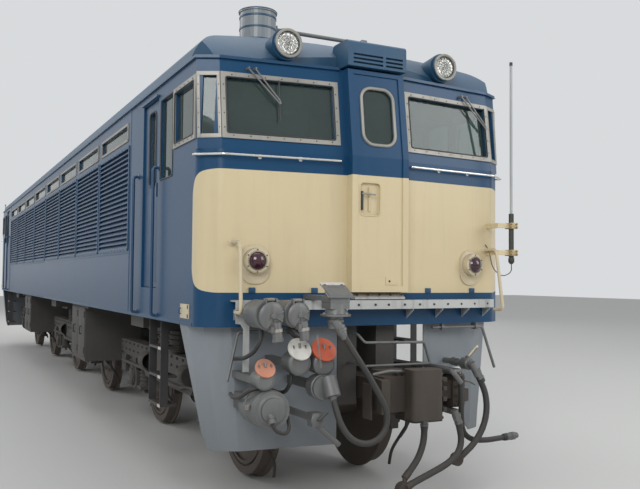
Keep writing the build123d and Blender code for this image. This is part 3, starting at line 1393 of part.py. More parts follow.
def make_stirrup():
    """Bent bar round the coupler's top, from the draft pocket's front."""
    seat = DRAFT_FRONT - RUNNING_GAP
    return bent_bar([(-207, seat, 1310), (-207, STIRRUP_Y + 60, 1310), (-171, STIRRUP_Y, 1247),
                     (367, STIRRUP_Y, 1237), (425, STIRRUP_Y, 1068), (-161, STIRRUP_Y, 1068),
                     (-161, seat, 1068)], STIRRUP_BAR, 20.0)


keep("antennas", both_ends(make_antenna()))

# Hoses, their pipes and the hanging jumper cable of the leading end

hoses = [at_front(cord_tube(points, HOSE, name)) for name, points in HOSE_ROUTES.items()]
keep("air_hoses", hoses)
keep("jumper_cable", at_front(cord_tube(CABLE_ROUTE, CABLE, "jumper_cable")))

JOINED = (2.0, -424.0, 186.0)
END_FITTING = 60.0


def make_hose_couplings():
    """Coupled pair that joins two hoses, and the open one of the right hose."""
    pair = drum_y(JOINED[0], JOINED[2], 58.0, JOINED[1] - 30, JOINED[1] + 30, 16)
    for name in ("cross_hose", "coupler_hose"):
        route = HOSE_ROUTES[name][::-1]
        end = fitting(route, END_FITTING, HOSE + 2)
        tip = Vector(*route[0]) + (Vector(*route[0]) - Vector(*route[1])).normalized() * (END_FITTING - 10)
        pair = pair + end + rod(tuple(tip), JOINED, HOSE - 7)
    route = HOSE_ROUTES["right_hose"][::-1]
    single = fitting(route, END_FITTING, HOSE + 2) + drum_y(548, 340, 50.0, -359, -309, 16)
    return [pair, single]


keep("hose_couplings", at_front(make_hose_couplings()))

# Pipes through the skirt plate that the hoses hang from: route, knee's rise, x and z at the plate
AIR_PIPES = (("right_hose", 100.0, 790.0, 1050.0), ("cross_hose", 62.0, 610.0, 690.0))
PIPE = 22.0
COCK_BODY = 46.0


def make_air_pipes():
    """Pipes and cocks of the right side, with a bent pipe whose end stands free."""
    pieces = []
    for name, rise, wall_x, wall_z in AIR_PIPES:
        route = HOSE_ROUTES[name]
        way = (Vector(*route[0]) - Vector(*route[1])).normalized()
        knee = Vector(*route[0]) + way * rise
        run = bar(tuple(knee), (wall_x, 300, wall_z), PIPE, 10) - skirt_volume(0)
        pieces.append(fitting(route, rise + 18, HOSE + 4) + run)
    cock = bar((785, -190, 1050), (787, -100, 1050), COCK_BODY, 10)
    lever = bar((790, -150, 1080), (885, -155, 1175), 7.0, 4)
    pieces[0] = pieces[0] + cock + lever
    elbow = bent_bar([(600, 300, 1020), (500, -345, 1020), (577, -352, 930)], PIPE, 30.0, 10)
    pieces.append((elbow - skirt_volume(0)))
    return pieces


keep("air_pipes", at_front(make_air_pipes() + [make_stirrup()]))

os.makedirs("parts", exist_ok=True)
for name, shape in NODES.items():
    export_step(shape, "parts/%s.step" % name)
print(len(NODES), "nodes")
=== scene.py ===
import math
import bmesh
import bpy
from mathutils import Matrix, Vector


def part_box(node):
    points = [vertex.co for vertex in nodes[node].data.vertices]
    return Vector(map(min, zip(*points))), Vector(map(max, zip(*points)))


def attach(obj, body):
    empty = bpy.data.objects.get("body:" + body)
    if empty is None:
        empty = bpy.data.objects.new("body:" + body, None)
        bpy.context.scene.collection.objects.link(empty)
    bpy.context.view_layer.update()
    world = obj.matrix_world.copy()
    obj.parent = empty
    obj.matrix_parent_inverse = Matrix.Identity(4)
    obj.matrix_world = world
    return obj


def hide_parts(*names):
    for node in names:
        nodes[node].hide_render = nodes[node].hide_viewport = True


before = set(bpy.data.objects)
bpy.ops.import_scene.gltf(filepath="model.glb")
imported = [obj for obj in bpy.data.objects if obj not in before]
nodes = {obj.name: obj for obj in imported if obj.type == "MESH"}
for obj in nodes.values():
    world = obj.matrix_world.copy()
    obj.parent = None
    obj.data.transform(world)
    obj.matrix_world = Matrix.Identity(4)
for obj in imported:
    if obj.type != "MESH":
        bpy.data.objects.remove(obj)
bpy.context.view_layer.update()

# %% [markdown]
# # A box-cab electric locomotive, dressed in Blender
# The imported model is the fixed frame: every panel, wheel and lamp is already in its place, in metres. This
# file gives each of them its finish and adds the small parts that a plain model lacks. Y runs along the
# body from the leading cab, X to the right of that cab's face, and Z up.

TREAD = 0.028        # height of the wheels' treads over the tips of their flanges
HALF_LENGTH = 8.5    # from the middle of the body to the face of a cab

# %% [markdown]
# ## The camera
# The camera stands off the left corner of the leading cab, at eye height. Its turn is written as three
# angles, because a look-at helper would lose the slight roll of a hand-held view.

# %% Camera
YAW, PITCH, ROLL = math.radians(-26.59), math.radians(2.49), math.radians(0.50)
STANDPOINT = (-3.176, -13.871, 1.760)
LENS, SENSOR = 44.18, 36.0


def add_camera():
    """Camera whose axes come from its three angles."""
    ahead = Vector((-math.sin(YAW) * math.cos(PITCH), math.cos(YAW) * math.cos(PITCH), math.sin(PITCH)))
    level = Vector((math.cos(YAW), math.sin(YAW), 0.0))
    above = level.cross(ahead)
    right = level * math.cos(ROLL) + above * math.sin(ROLL)
    up = above * math.cos(ROLL) - level * math.sin(ROLL)
    data = bpy.data.cameras.new("camera")
    data.sensor_width = SENSOR
    data.lens = LENS
    camera = bpy.data.objects.new("camera", data)
    turn = Matrix((right, up, -ahead)).transposed().to_4x4()
    camera.matrix_world = Matrix.Translation(STANDPOINT) @ turn
    bpy.context.scene.collection.objects.link(camera)
    bpy.context.scene.camera = camera
    return camera


camera = add_camera()
print("camera at", tuple(camera.location))

# %% [markdown]
# ## Node helpers
# Every finish below is a short node tree. These helpers keep the trees readable: one adds a node and links
# its inputs, one starts a shader group with named sockets, one starts a material.

# %% Nodes, sums and mixes


def feed(tree, node, inputs):
    """Links each input to the socket that it's given, or sets its value."""
    for key, value in inputs.items():
        if isinstance(value, bpy.types.NodeSocket):
            tree.links.new(value, node.inputs[key])
        else:
            node.inputs[key].default_value = value
    return node


def add_node(tree, kind, inputs=None, **settings):
    """Adds a node, sets its properties and feeds its named or numbered inputs."""
    node = tree.nodes.new(kind)
    for key, value in settings.items():
        setattr(node, key, value)
    return feed(tree, node, inputs or {})


def maths(tree, operation, a, b=0.0, c=0.0):
    """Result of one sum on up to three sockets or numbers."""
    return add_node(tree, "ShaderNodeMath", {0: a, 1: b, 2: c}, operation=operation).outputs[0]


def mix_colour(tree, factor, a, b, blend="MIX"):
    """Mix of two colours. Its factor and colours are the node's inputs 0, 6 and 7."""
    node = add_node(tree, "ShaderNodeMix", data_type="RGBA", blend_type=blend)
    return feed(tree, node, {0: factor, 6: a, 7: b}).outputs[2]


def object_place(tree):
    """Place on the piece in metres, which stays put when the piece moves."""
    return add_node(tree, "ShaderNodeTexCoord").outputs["Object"]


def object_axes(tree):
    """The same place as its X, Y and Z."""
    return add_node(tree, "ShaderNodeSeparateXYZ", {0: object_place(tree)}).outputs


print("node helpers", add_node.__name__, maths.__name__, mix_colour.__name__)

# %% Groups and materials


def new_group(name, inputs, outputs):
    """Shader group with named sockets. Inputs are (name, kind, value)."""
    group = bpy.data.node_groups.new(name, "ShaderNodeTree")
    for label, kind, value in inputs:
        socket = group.interface.new_socket(label, in_out="INPUT", socket_type=kind)
        socket.default_value = value
    for label, kind in outputs:
        group.interface.new_socket(label, in_out="OUTPUT", socket_type=kind)
    return group, group.nodes.new("NodeGroupInput"), group.nodes.new("NodeGroupOutput")


def use_group(tree, group, inputs):
    """Places a shader group in a tree and feeds its inputs."""
    return feed(tree, add_node(tree, "ShaderNodeGroup", node_tree=group), inputs)


def new_material(name, **principled):
    """Material with its tree and its principled shader, whose inputs are set by name."""
    material = bpy.data.materials.new(name)
    material.use_nodes = True
    tree = material.node_tree
    shader = tree.nodes["Principled BSDF"]
    for key, value in principled.items():
        shader.inputs[key.replace("_", " ")].default_value = value
    return material, tree, shader


print("groups and materials are made by", new_group.__name__, "and", new_material.__name__)

# %% [markdown]
# ## Shared effects
# Three effects recur on the real machine: paint that has faded in clouds, dust that settles on whatever
# faces up, and dirt that thickens towards the wheels. Each is a group, so that one change reaches every
# finish that uses it.

# %% Weathered paint group
FLOAT, COLOUR = "NodeSocketFloat", "NodeSocketColor"
SOOT_COLOUR = (0.045, 0.038, 0.032, 1)
STREAK_COLOUR = (0.10, 0.08, 0.06, 1)


def make_weathering():
    """Colour, roughness and height of a painted or bare surface that has aged."""
    group, given, out = new_group(
        "weathered paint",
        [("Colour", COLOUR, (0.5, 0.5, 0.5, 1)), ("Fade", FLOAT, 0.12), ("Cloud Scale", FLOAT, 1.5),
         ("Dust Colour", COLOUR, (0.30, 0.28, 0.25, 1)), ("Dust", FLOAT, 0.5), ("Soot", FLOAT, 0.5),
         ("Soot Height", FLOAT, 1.2), ("Roughness", FLOAT, 0.35), ("Streaks", FLOAT, 0.15)],
        [("Colour", COLOUR), ("Roughness", FLOAT), ("Height", FLOAT)])
    where = object_place(group)
    spot = add_node(group, "ShaderNodeSeparateXYZ", {0: where})
    normal = add_node(group, "ShaderNodeNewGeometry").outputs["Normal"]
    facing = add_node(group, "ShaderNodeSeparateXYZ", {0: normal})
    cloud = add_node(group, "ShaderNodeTexNoise", {
        "Vector": where, "Scale": given.outputs["Cloud Scale"], "Detail": 6.0, "Roughness": 0.6})
    grain = add_node(group, "ShaderNodeTexNoise", {"Vector": where, "Scale": 38.0, "Detail": 3.0})
    run_down = add_node(group, "ShaderNodeMapping", {"Vector": where, "Scale": (9.0, 9.0, 0.6)})
    streak = add_node(group, "ShaderNodeTexNoise", {
        "Vector": run_down.outputs[0], "Scale": 2.2, "Detail": 5.0})
    # Fade: lighter and darker clouds around the paint's colour
    swing = maths(group, "MULTIPLY", maths(group, "SUBTRACT", cloud.outputs[0], 0.5), given.outputs["Fade"])
    level = maths(group, "ADD", 1.0, maths(group, "MULTIPLY", swing, 2.2))
    faded = mix_colour(group, 1.0, given.outputs["Colour"], add_node(
        group, "ShaderNodeCombineColor", {0: level, 1: level, 2: level}).outputs[0], "MULTIPLY")
    run = add_node(group, "ShaderNodeMapRange", {0: streak.outputs[0], 1: 0.52, 2: 0.75}, clamp=True)
    stained = mix_colour(group, maths(group, "MULTIPLY", run.outputs[0], given.outputs["Streaks"]), faded,
                         STREAK_COLOUR)
    # Dust on what faces up
    up = add_node(group, "ShaderNodeMapRange", {0: facing.outputs[2], 1: 0.25, 2: 0.95}, clamp=True)
    settled = maths(group, "MULTIPLY", maths(group, "MULTIPLY", up.outputs[0], given.outputs["Dust"]),
                    maths(group, "ADD", 0.55, grain.outputs[0]))
    film = maths(group, "MULTIPLY", given.outputs["Dust"], maths(group, "MULTIPLY", cloud.outputs[0], 0.16))
    dusty = mix_colour(group, maths(group, "MINIMUM", maths(group, "ADD", settled, film), 0.9), stained,
                       given.outputs["Dust Colour"])
    # Soot that thickens downwards
    low = add_node(group, "ShaderNodeMapRange",
                   {0: spot.outputs[2], 1: given.outputs["Soot Height"], 2: 0.1}, clamp=True)
    soot = maths(group, "MULTIPLY", maths(group, "MULTIPLY", low.outputs[0], given.outputs["Soot"]),
                 maths(group, "ADD", 0.4, cloud.outputs[0]))
    sooty = mix_colour(group, maths(group, "MINIMUM", soot, 0.85), dusty, SOOT_COLOUR)
    # Dust, soot and grain all make the paint duller
    duller = maths(group, "ADD", maths(group, "MULTIPLY", settled, 0.5), maths(group, "MULTIPLY", soot, 0.4))
    rough = maths(group, "ADD", given.outputs["Roughness"], duller)
    rough = maths(group, "ADD", rough, maths(group, "MULTIPLY", grain.outputs[0], 0.08))
    rough = maths(group, "MINIMUM", rough, 0.95)
    group.links.new(sooty, out.inputs["Colour"])
    group.links.new(rough, out.inputs["Roughness"])
    group.links.new(maths(group, "ADD", maths(group, "MULTIPLY", cloud.outputs[0], 0.6),
                          maths(group, "MULTIPLY", grain.outputs[0], 0.10)), out.inputs["Height"])
    return group


WEATHER = make_weathering()
print("group", WEATHER.name)

# %% [markdown]
# ## Painted and bare metal
# Nearly every surface is paint or bare metal that has stood for years. One function makes them all: it
# places the weathering group in a fresh material and sets its values, so a finish below is one line of
# numbers.

# %% A weathered finish


def weathered(name, colour, bump=0.15, metallic=0.0, **inputs):
    """Material whose colour, roughness and bump come from the weathering group."""
    material, tree, shader = new_material(name, Metallic=metallic)
    values = {"Colour": (*colour, 1.0)}
    values.update({key.replace("_", " "): value for key, value in inputs.items()})
    worn = use_group(tree, WEATHER, values)
    tree.links.new(worn.outputs["Colour"], shader.inputs["Base Color"])
    tree.links.new(worn.outputs["Roughness"], shader.inputs["Roughness"])
    relief = add_node(tree, "ShaderNodeBump", {"Strength": bump, "Distance": 0.004,
                                               "Height": worn.outputs["Height"]})
    tree.links.new(relief.outputs[0], shader.inputs["Normal"])
    return material


def worn_inputs(material):
    """Inputs of the weathering group in a material."""
    return [n for n in material.node_tree.nodes if n.type == "GROUP"][0].inputs


def masked(material, mask, colour):
    """Lays a second colour over a weathered finish where the mask is one."""
    tree, paint = material.node_tree, worn_inputs(material)["Colour"]
    below = paint.links[0].from_socket if paint.links else paint.default_value[:]
    tree.links.new(mix_colour(tree, mask, below, (*colour, 1.0)), paint)
    return material


print("finishes are made by", weathered.__name__)

# %% [markdown]
# ## The two-colour livery
# The cab is deep blue with a cream band round its face, and the band's corners are rounded where it ends on
# the sides. On the real cab it is masked and sprayed. Here a rounded rectangle is worked out from the place
# on the body, so the edge stays sharp at any distance and needs no image.

# %% The livery
BLUE = (0.005, 0.055, 0.135)
CREAM = (0.66, 0.555, 0.35)
BAND_LOW, BAND_HIGH = 1.651, 2.568
BAND_END, BAND_RADIUS = 8.18, 0.20


def make_livery():
    """Deep blue with a cream band round each face, its corners rounded where it ends on the sides."""
    material = weathered("livery", BLUE, Fade=0.08, Dust=0.12, Soot=0.3, Soot_Height=1.75, Roughness=0.26,
                         Streaks=0.05, Dust_Colour=(0.16, 0.20, 0.26, 1))
    tree = material.node_tree
    tree.nodes["Principled BSDF"].inputs["Specular IOR Level"].default_value = 0.3
    axes = object_axes(tree)
    middle, half = (BAND_LOW + BAND_HIGH) / 2, (BAND_HIGH - BAND_LOW) / 2
    from_middle = maths(tree, "ABSOLUTE", axes[1])
    past = maths(tree, "MAXIMUM", maths(tree, "SUBTRACT", BAND_END + BAND_RADIUS, from_middle), 0.0)
    off = maths(tree, "ABSOLUTE", maths(tree, "SUBTRACT", axes[2], middle))
    over = maths(tree, "MAXIMUM", maths(tree, "SUBTRACT", off, half - BAND_RADIUS), 0.0)
    squares = maths(tree, "ADD", maths(tree, "MULTIPLY", past, past), maths(tree, "MULTIPLY", over, over))
    inside_round = maths(tree, "LESS_THAN", maths(tree, "SQRT", squares), BAND_RADIUS)
    # On the face itself the band has square edges
    on_face = maths(tree, "GREATER_THAN", from_middle, BAND_END + BAND_RADIUS)
    band = maths(tree, "MULTIPLY", on_face, maths(tree, "LESS_THAN", off, half))
    return masked(material, maths(tree, "MAXIMUM", inside_round, band), CREAM)


FINISH = {"livery": make_livery()}
print("band from", BAND_LOW, "to", BAND_HIGH)

# %% [markdown]
# ## Marks that follow the construction
# Some colours change where the real thing is made of another sheet or another part: dark joints between the
# side sheets, black steps below the grey skirt, a dark sleeve on the aerial. Each is a mask from the place
# on the body.

# %% Seams, steps and aerial
PANEL_PITCH = 1.53
STEP_PLACE, STEP_REACH, STEP_INNER = 6.9, 0.30, 1.10
SLEEVE_TOP, ARM_END = 2.335, 1.30


def with_seams(material):
    """Thin dark joints between the sheets, one panel apart along the body."""
    tree = material.node_tree
    along = maths(tree, "DIVIDE", maths(tree, "ABSOLUTE", object_axes(tree)[1]), PANEL_PITCH)
    edge = maths(tree, "ABSOLUTE", maths(tree, "SUBTRACT", maths(tree, "FRACT", along), 0.5))
    return masked(material, maths(tree, "GREATER_THAN", edge, 0.4975), (0.004, 0.012, 0.03))


def steps_in_black(material):
    """The door steps share the skirts' solid, and the real ones are black."""
    tree = material.node_tree
    axes = object_axes(tree)
    along = maths(tree, "COMPARE", maths(tree, "ABSOLUTE", axes[1]), STEP_PLACE, STEP_REACH)
    out = maths(tree, "GREATER_THAN", maths(tree, "ABSOLUTE", axes[0]), STEP_INNER)
    return masked(material, maths(tree, "MULTIPLY", along, out), (0.03, 0.03, 0.032))


def make_aerial_finish():
    """Cream arms, a black lower sleeve and a grey pole."""
    material = weathered("aerial grey", (0.42, 0.44, 0.44), Fade=0.2, Dust=0.2, Roughness=0.4)
    tree = material.node_tree
    axes = object_axes(tree)
    masked(material, maths(tree, "LESS_THAN", axes[2], SLEEVE_TOP), (0.03, 0.035, 0.03))
    return masked(material, maths(tree, "LESS_THAN", maths(tree, "ABSOLUTE", axes[0]), ARM_END), CREAM)


FINISH["aerial"] = make_aerial_finish()
print("masked finishes", sorted(FINISH))

# %% Body paints
BLUE_DUST = (0.18, 0.20, 0.24, 1)
FINISH["blue"] = with_seams(weathered(
    "side blue", BLUE, Fade=0.15, Dust=0.25, Soot=0.5, Soot_Height=1.9, Roughness=0.30, Streaks=0.18,
    Dust_Colour=BLUE_DUST))
FINISH["plain_blue"] = weathered(
    "edge blue", (0.008, 0.062, 0.145), Fade=0.15, Dust=0.3, Roughness=0.32, Dust_Colour=BLUE_DUST)
FINISH["roof"] = with_seams(weathered(
    "roof blue", (0.010, 0.066, 0.135), Fade=0.25, Dust=0.32, Roughness=0.38, Streaks=0.15,
    Dust_Colour=(0.20, 0.23, 0.27, 1)))
FINISH["skirt"] = steps_in_black(weathered(
    "skirt grey", (0.21, 0.235, 0.26), Fade=0.22, Dust=0.35, Soot=0.5, Soot_Height=1.1, Roughness=0.42,
    Streaks=0.12))
FINISH["silver"] = weathered(
    "ledge silver", (0.50, 0.51, 0.50), Fade=0.3, Dust=0.5, Roughness=0.42, Streaks=0.5, metallic=0.2)
FINISH["bar"] = weathered("handrail cream", (0.62, 0.53, 0.36), Fade=0.3, Dust=0.4, Roughness=0.4)
print("body paints", sorted(FINISH))

# %% Running gear, couplers and rubber
FINISH.update({
    "gear": weathered("jumper grey", (0.15, 0.155, 0.155), Fade=0.7, Dust=0.35, Soot=0.4, Roughness=0.42,
                      Streaks=0.5, metallic=0.35, bump=0.3, Dust_Colour=(0.19, 0.18, 0.165, 1)),
    "frame": weathered("underframe black", (0.055, 0.052, 0.05), Fade=0.5, Dust=0.8, Soot=0.3, Roughness=0.6,
                       Dust_Colour=(0.16, 0.14, 0.12, 1)),
    "bogie": weathered("bogie black", (0.045, 0.042, 0.04), Fade=0.5, Dust=0.75, Soot=0.3, Roughness=0.62,
                       Dust_Colour=(0.15, 0.13, 0.11, 1)),
    "iron": weathered("coupler iron", (0.050, 0.041, 0.034), Fade=0.7, Dust=0.35, Soot=0.2, Roughness=0.55,
                      metallic=0.3, bump=0.4, Dust_Colour=(0.16, 0.13, 0.11, 1)),
    "wheel": weathered("wheel steel", (0.17, 0.14, 0.12), Fade=0.5, Dust=0.5, Roughness=0.5, metallic=0.6),
    "black": weathered("black paint and painted shade", (0.03, 0.03, 0.03), Fade=0.2, Dust=0.5, Roughness=0.5),
    "rubber": weathered("hose rubber", (0.022, 0.022, 0.022), Fade=0.4, Dust=0.35, Roughness=0.5,
                        Dust_Colour=(0.17, 0.165, 0.15, 1)),
})
print("finishes", len(FINISH))

# %% Bright metals, lids and equipment
FINISH.update({
    "alloy": weathered("window aluminium", (0.33, 0.32, 0.29), Fade=0.5, Dust=0.35, Roughness=0.46,
                       metallic=0.45, bump=0.3, Streaks=0.3),
    "chrome": weathered("bright plate", (0.78, 0.78, 0.76), Fade=0.1, Dust=0.1, Roughness=0.16,
                        metallic=0.95, bump=0.05),
    "brass": weathered("clamp brass", (0.42, 0.33, 0.18), Fade=0.5, Dust=0.4, Roughness=0.42, metallic=0.6),
    "copper": weathered("copper bar", (0.34, 0.17, 0.10), Fade=0.6, Dust=0.4, Roughness=0.4, metallic=0.7),
    "wiper_arm": weathered("wiper steel", (0.22, 0.22, 0.22), Fade=0.4, Dust=0.3, Roughness=0.35,
                           metallic=0.6),
    "white": weathered("lid white", (0.66, 0.65, 0.60), Fade=0.35, Dust=0.35, Roughness=0.4, Streaks=0.3),
    "orange": weathered("lid orange red", (0.52, 0.075, 0.022), Fade=0.4, Dust=0.2, Roughness=0.38,
                        Streaks=0.2),
    "copper_lid": weathered("lid copper red", (0.50, 0.20, 0.12), Fade=0.5, Dust=0.3, Roughness=0.4,
                            metallic=0.3),
    "green": weathered("cab switch green", (0.06, 0.26, 0.14), Fade=0.2, Dust=0.2, Roughness=0.4),
    "inside": weathered("cab green", (0.16, 0.22, 0.18), Fade=0.2, Dust=0.2, Roughness=0.55),
    "machine": weathered("machine grey", (0.12, 0.14, 0.13), Fade=0.3, Dust=0.6, Roughness=0.5),
    "insulator": weathered("insulator grey", (0.22, 0.25, 0.27), Fade=0.2, Dust=0.7, Roughness=0.3),
    "pantograph": weathered("pantograph grey", (0.15, 0.16, 0.17), Fade=0.3, Dust=0.6, Roughness=0.45,
                            metallic=0.3),
})
print("finishes", len(FINISH))

# %% [markdown]
# ## Glass
# Window glass, the headlamp's fluted lens and the tail lamp's ruby are all glass, but each shows something
# else: smears, radial flutes and a dark depth. The flutes are worked out as an angle round the lamp's
# middle, because a pressed lens has them in its shape, and a bump gives them to the light at no cost in
# faces. Their crests are also painted near white and their troughs grey, a painted highlight and shade.

# %% Window glass and tail lens
CLEAR = {"IOR": 1.5, "Transmission_Weight": 0.85}


def clouded(name, scale, dark, light, **principled):
    """Glass whose colour varies between two tones."""
    material, tree, shader = new_material(name, **principled)
    cloud = add_node(tree, "ShaderNodeTexNoise", {"Vector": object_place(tree), **scale})
    tree.links.new(mix_colour(tree, cloud.outputs[0], dark, light), shader.inputs["Base Color"])
    return material


FINISH["glass"] = clouded("window glass", {"Scale": 2.5, "Detail": 4.0}, (0.12, 0.20, 0.19, 1),
                          (0.20, 0.30, 0.28, 1), Roughness=0.03, **CLEAR)
FINISH["ruby"] = clouded("tail lens red", {"Scale": 30.0}, (0.018, 0.002, 0.010, 1), (0.06, 0.004, 0.014, 1),
                         Roughness=0.1, IOR=1.5, Coat_Weight=0.6)
print("glass and ruby made")

# %% Headlamp lens
LAMP_X, LAMP_Z = 731, 3541     # of the lamp's middle, in millimetres above the treads
FLUTES = 7.0


def make_lens():
    """Clear glass with flutes that run out from the lamp's middle, their crests painted lighter as a painted
    highlight.
    """
    material, tree, shader = new_material("headlamp lens", Roughness=0.05, **CLEAR)
    axes = object_axes(tree)
    across = maths(tree, "SUBTRACT", maths(tree, "ABSOLUTE", axes[0]), LAMP_X / 1000)
    turn = maths(tree, "ARCTAN2", maths(tree, "SUBTRACT", axes[2], LAMP_Z / 1000 + TREAD), across)
    flute_and_glint = maths(tree, "ABSOLUTE", maths(tree, "SINE", maths(tree, "MULTIPLY", turn, FLUTES)))
    # Painted highlight and shade: flute crests near white, troughs grey, on glass that is really clear
    tree.links.new(mix_colour(tree, flute_and_glint, (0.55, 0.56, 0.52, 1), (0.96, 0.96, 0.92, 1)),
                   shader.inputs["Base Color"])
    relief = add_node(tree, "ShaderNodeBump", {"Strength": 0.8, "Distance": 0.006, "Height": flute_and_glint})
    tree.links.new(relief.outputs[0], shader.inputs["Normal"])
    return material


FINISH["lens"] = make_lens()
print("finishes", len(FINISH))

# %% [markdown]
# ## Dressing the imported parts
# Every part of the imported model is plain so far. One table says which finish each of them wears, so a part
# that was forgotten shows at once: the cell prints the names that are left over.

# %% Finish of each carried-over part
WEARS = {
    "livery": ("cab_front", "cab_rear", "gangway_door_front", "gangway_door_rear"),
    "blue": ("side_wall_left", "side_wall_right", "cab_door_front_left", "cab_door_front_right",
             "cab_door_rear_left", "cab_door_rear_right"),
    "roof": ("roof", "roof_ventilators", "headlamp_housings", "whistle_boxes"),
    "skirt": ("skirts",),
    "silver": ("front_ledges",),
    "gear": ("jumper_sockets", "air_pipes"),
    "frame": ("underframe", "underfloor_cases"),
    "bogie": tuple("%s_%d" % (part, n) for part in ("bogie_frame", "traction_motors") for n in (1, 2, 3)),
    "iron": ("coupler_front", "coupler_rear", "hose_couplings"),
    "wheel": tuple("wheelset_%d" % n for n in range(1, 7)),
    "bar": ("handrails", "tail_lamps"),
    "alloy": ("window_frames",),
    "aerial": ("antennas",),
    "inside": ("cab_interiors",),
    "machine": ("machine_block",),
    "insulator": ("arresters", "pantograph_1_base", "pantograph_2_base"),
    "pantograph": tuple("pantograph_%d_%s" % (n, part) for n in (1, 2)
                        for part in ("lower_lead", "lower_trail", "upper_lead", "upper_trail", "head")),
    "black": ("wipers",),
    "rubber": ("air_hoses", "jumper_cable"),
    "glass": ("window_glass",),
    "lens": ("headlamp_lenses",),
    "ruby": ("tail_lenses",),
}
dressed = []
for finish, names in WEARS.items():
    for name in names:
        mesh = nodes[name].data
        mesh.materials.clear()
        mesh.materials.append(FINISH[finish])
        dressed.append(name)
print("dressed", len(dressed), "left", sorted(set(nodes) - set(dressed)))

# %% [markdown]
# ## Mesh helpers
# Small parts are drawn in millimetres in the leading face's own frame, as the workshop drawing has them: X
# across, Y back from the face, Z up from the wheels' treads. Each helper adds one turned, bent, pressed or
# cut form to a mesh, and the last one sets it in the model and lets it ride on its body.

# %% Mesh helpers
BELT, LEAN = 2690, 0.131     # above this height the face leans back, by so much a millimetre
FLAT, SWEEP = 290, 0.116     # past this half width the face sweeps back, by so much a millimetre
OUT, UP, RIGHT = (0, -1, 0), (0, 0, 1), (1, 0, 0)


def face_back(x, z):
    """How far the cab's outer face lies behind the face plane, in millimetres."""
    return LEAN * max(0, z - BELT) + SWEEP * max(0, abs(x) - FLAT)


def join_in(bm, part, slot, bevel=0.0):
    """Rounds a part's edges and adds it to the mesh under one material slot."""
    if bevel:
        bmesh.ops.bevel(part, geom=list(part.edges), offset=bevel, segments=2, profile=0.7,
                        affect="EDGES")
    bmesh.ops.recalc_face_normals(part, faces=part.faces)
    for face in part.faces:
        face.material_index = slot
    carrier = bpy.data.meshes.new("carrier")
    part.to_mesh(carrier)
    part.free()
    bm.from_mesh(carrier)
    bpy.data.meshes.remove(carrier)


print("the face lies back at its corner by", face_back(1400, BELT))

# %% Boxes and skins


def add_box(bm, low, high, slot=0, bevel=2.0):
    """Box between two corners, its edges rounded."""
    part = bmesh.new()
    size = [abs(b - a) for a, b in zip(low, high)]
    middle = [(a + b) / 2 for a, b in zip(low, high)]
    bmesh.ops.create_cube(part, size=1.0, matrix=Matrix.Translation(middle) @ Matrix.Diagonal((*size, 1.0)))
    join_in(bm, part, slot, min(bevel, 0.3 * min(size)))


def add_rings(part, rings, closed=False):
    """Skins a list of vertex rings. A ring of one vertex closes to a point."""
    pairs = list(zip(rings, rings[1:] + rings[:1])) if closed else list(zip(rings, rings[1:]))
    for a, b in pairs:
        count = max(len(a), len(b))
        for k in range(count):
            j = (k + 1) % count
            corners = [a[k % len(a)], a[j % len(a)], b[j % len(b)], b[k % len(b)]]
            unique = [v for n, v in enumerate(corners) if v not in corners[:n]]
            if len(unique) > 2:
                part.faces.new(unique)


def ring_round(part, centre, radius, one, other, steps):
    """Vertices round a circle, which lies in the plane of the two directions."""
    turns = [2 * math.pi * k / steps for k in range(steps)]
    return [part.verts.new(centre + radius * (one * math.cos(t) + other * math.sin(t))) for t in turns]


print("solids are joined by", join_in.__name__, "and skinned by", add_rings.__name__)

# %% Turned parts


def add_lathe(bm, profile, foot, way=OUT, slot=0, steps=28):
    """Turned part: pairs of radius and distance, from the foot along the way."""
    part = bmesh.new()
    way = Vector(way).normalized()
    side = way.orthogonal().normalized()
    up = way.cross(side)
    rings = []
    for radius, along in profile:
        count = steps if radius > 0 else 1
        rings.append(ring_round(part, Vector(foot) + way * along, radius, side, up, count))
    add_rings(part, rings)
    join_in(bm, part, slot)


print("turned parts are made by", add_lathe.__name__)

# %% Pipes, bars and coils


def bent_path(points, bend, steps=6):
    """The same path with each corner rounded over `bend` millimetres."""
    points = [Vector(p) for p in points]
    path = [points[0]]
    for a, b, c in zip(points, points[1:], points[2:]):
        reach = min(bend, 0.49 * (a - b).length, 0.49 * (c - b).length)
        start = b + (a - b).normalized() * reach
        end = b + (c - b).normalized() * reach
        path.extend(start.lerp(b, t).lerp(b.lerp(end, t), t) for t in (k / steps for k in range(steps + 1)))
    return path + [points[-1]]


def add_tube(bm, points, radius, bend=0.0, slot=0, steps=12):
    """Round bar or pipe along a path."""
    part = bmesh.new()
    path = bent_path(points, bend) if bend else [Vector(p) for p in points]
    side = (path[1] - path[0]).orthogonal().normalized()
    rings = []
    for n, point in enumerate(path):
        ahead = path[min(n + 1, len(path) - 1)] - point
        behind = point - path[max(n - 1, 0)]
        way = (ahead.normalized() + behind.normalized()).normalized()
        side = (side - way * side.dot(way)).normalized()
        rings.append(ring_round(part, point, radius, side, way.cross(side), steps))
    add_rings(part, [[part.verts.new(path[0])]] + rings + [[part.verts.new(path[-1])]])
    join_in(bm, part, slot)


def add_coil(bm, foot, radius, wire, height, turns, way=UP, slot=0):
    """Coil spring from its foot along the way."""
    way = Vector(way).normalized()
    side = way.orthogonal().normalized()
    up = way.cross(side)
    count = int(turns * 16)
    points = []
    for k in range(count + 1):
        t = 2 * math.pi * turns * k / count
        round_it = radius * (side * math.cos(t) + up * math.sin(t))
        points.append(Vector(foot) + way * (height * k / count) + round_it)
    add_tube(bm, points, wire, slot=slot, steps=6)


print("bent parts are made by", add_tube.__name__, "and", add_coil.__name__)

# %% From a drawn mesh to a piece
SHARP_ANGLE = math.radians(38)
made = {}


def doubled(bm):
    """Doubles everything drawn so far, and gives the vertices and the faces of the copy."""
    copy = bmesh.ops.duplicate(bm, geom=bm.verts[:] + bm.edges[:] + bm.faces[:])["geom"]
    return [[g for g in copy if isinstance(g, kind)] for kind in (bmesh.types.BMVert, bmesh.types.BMFace)]


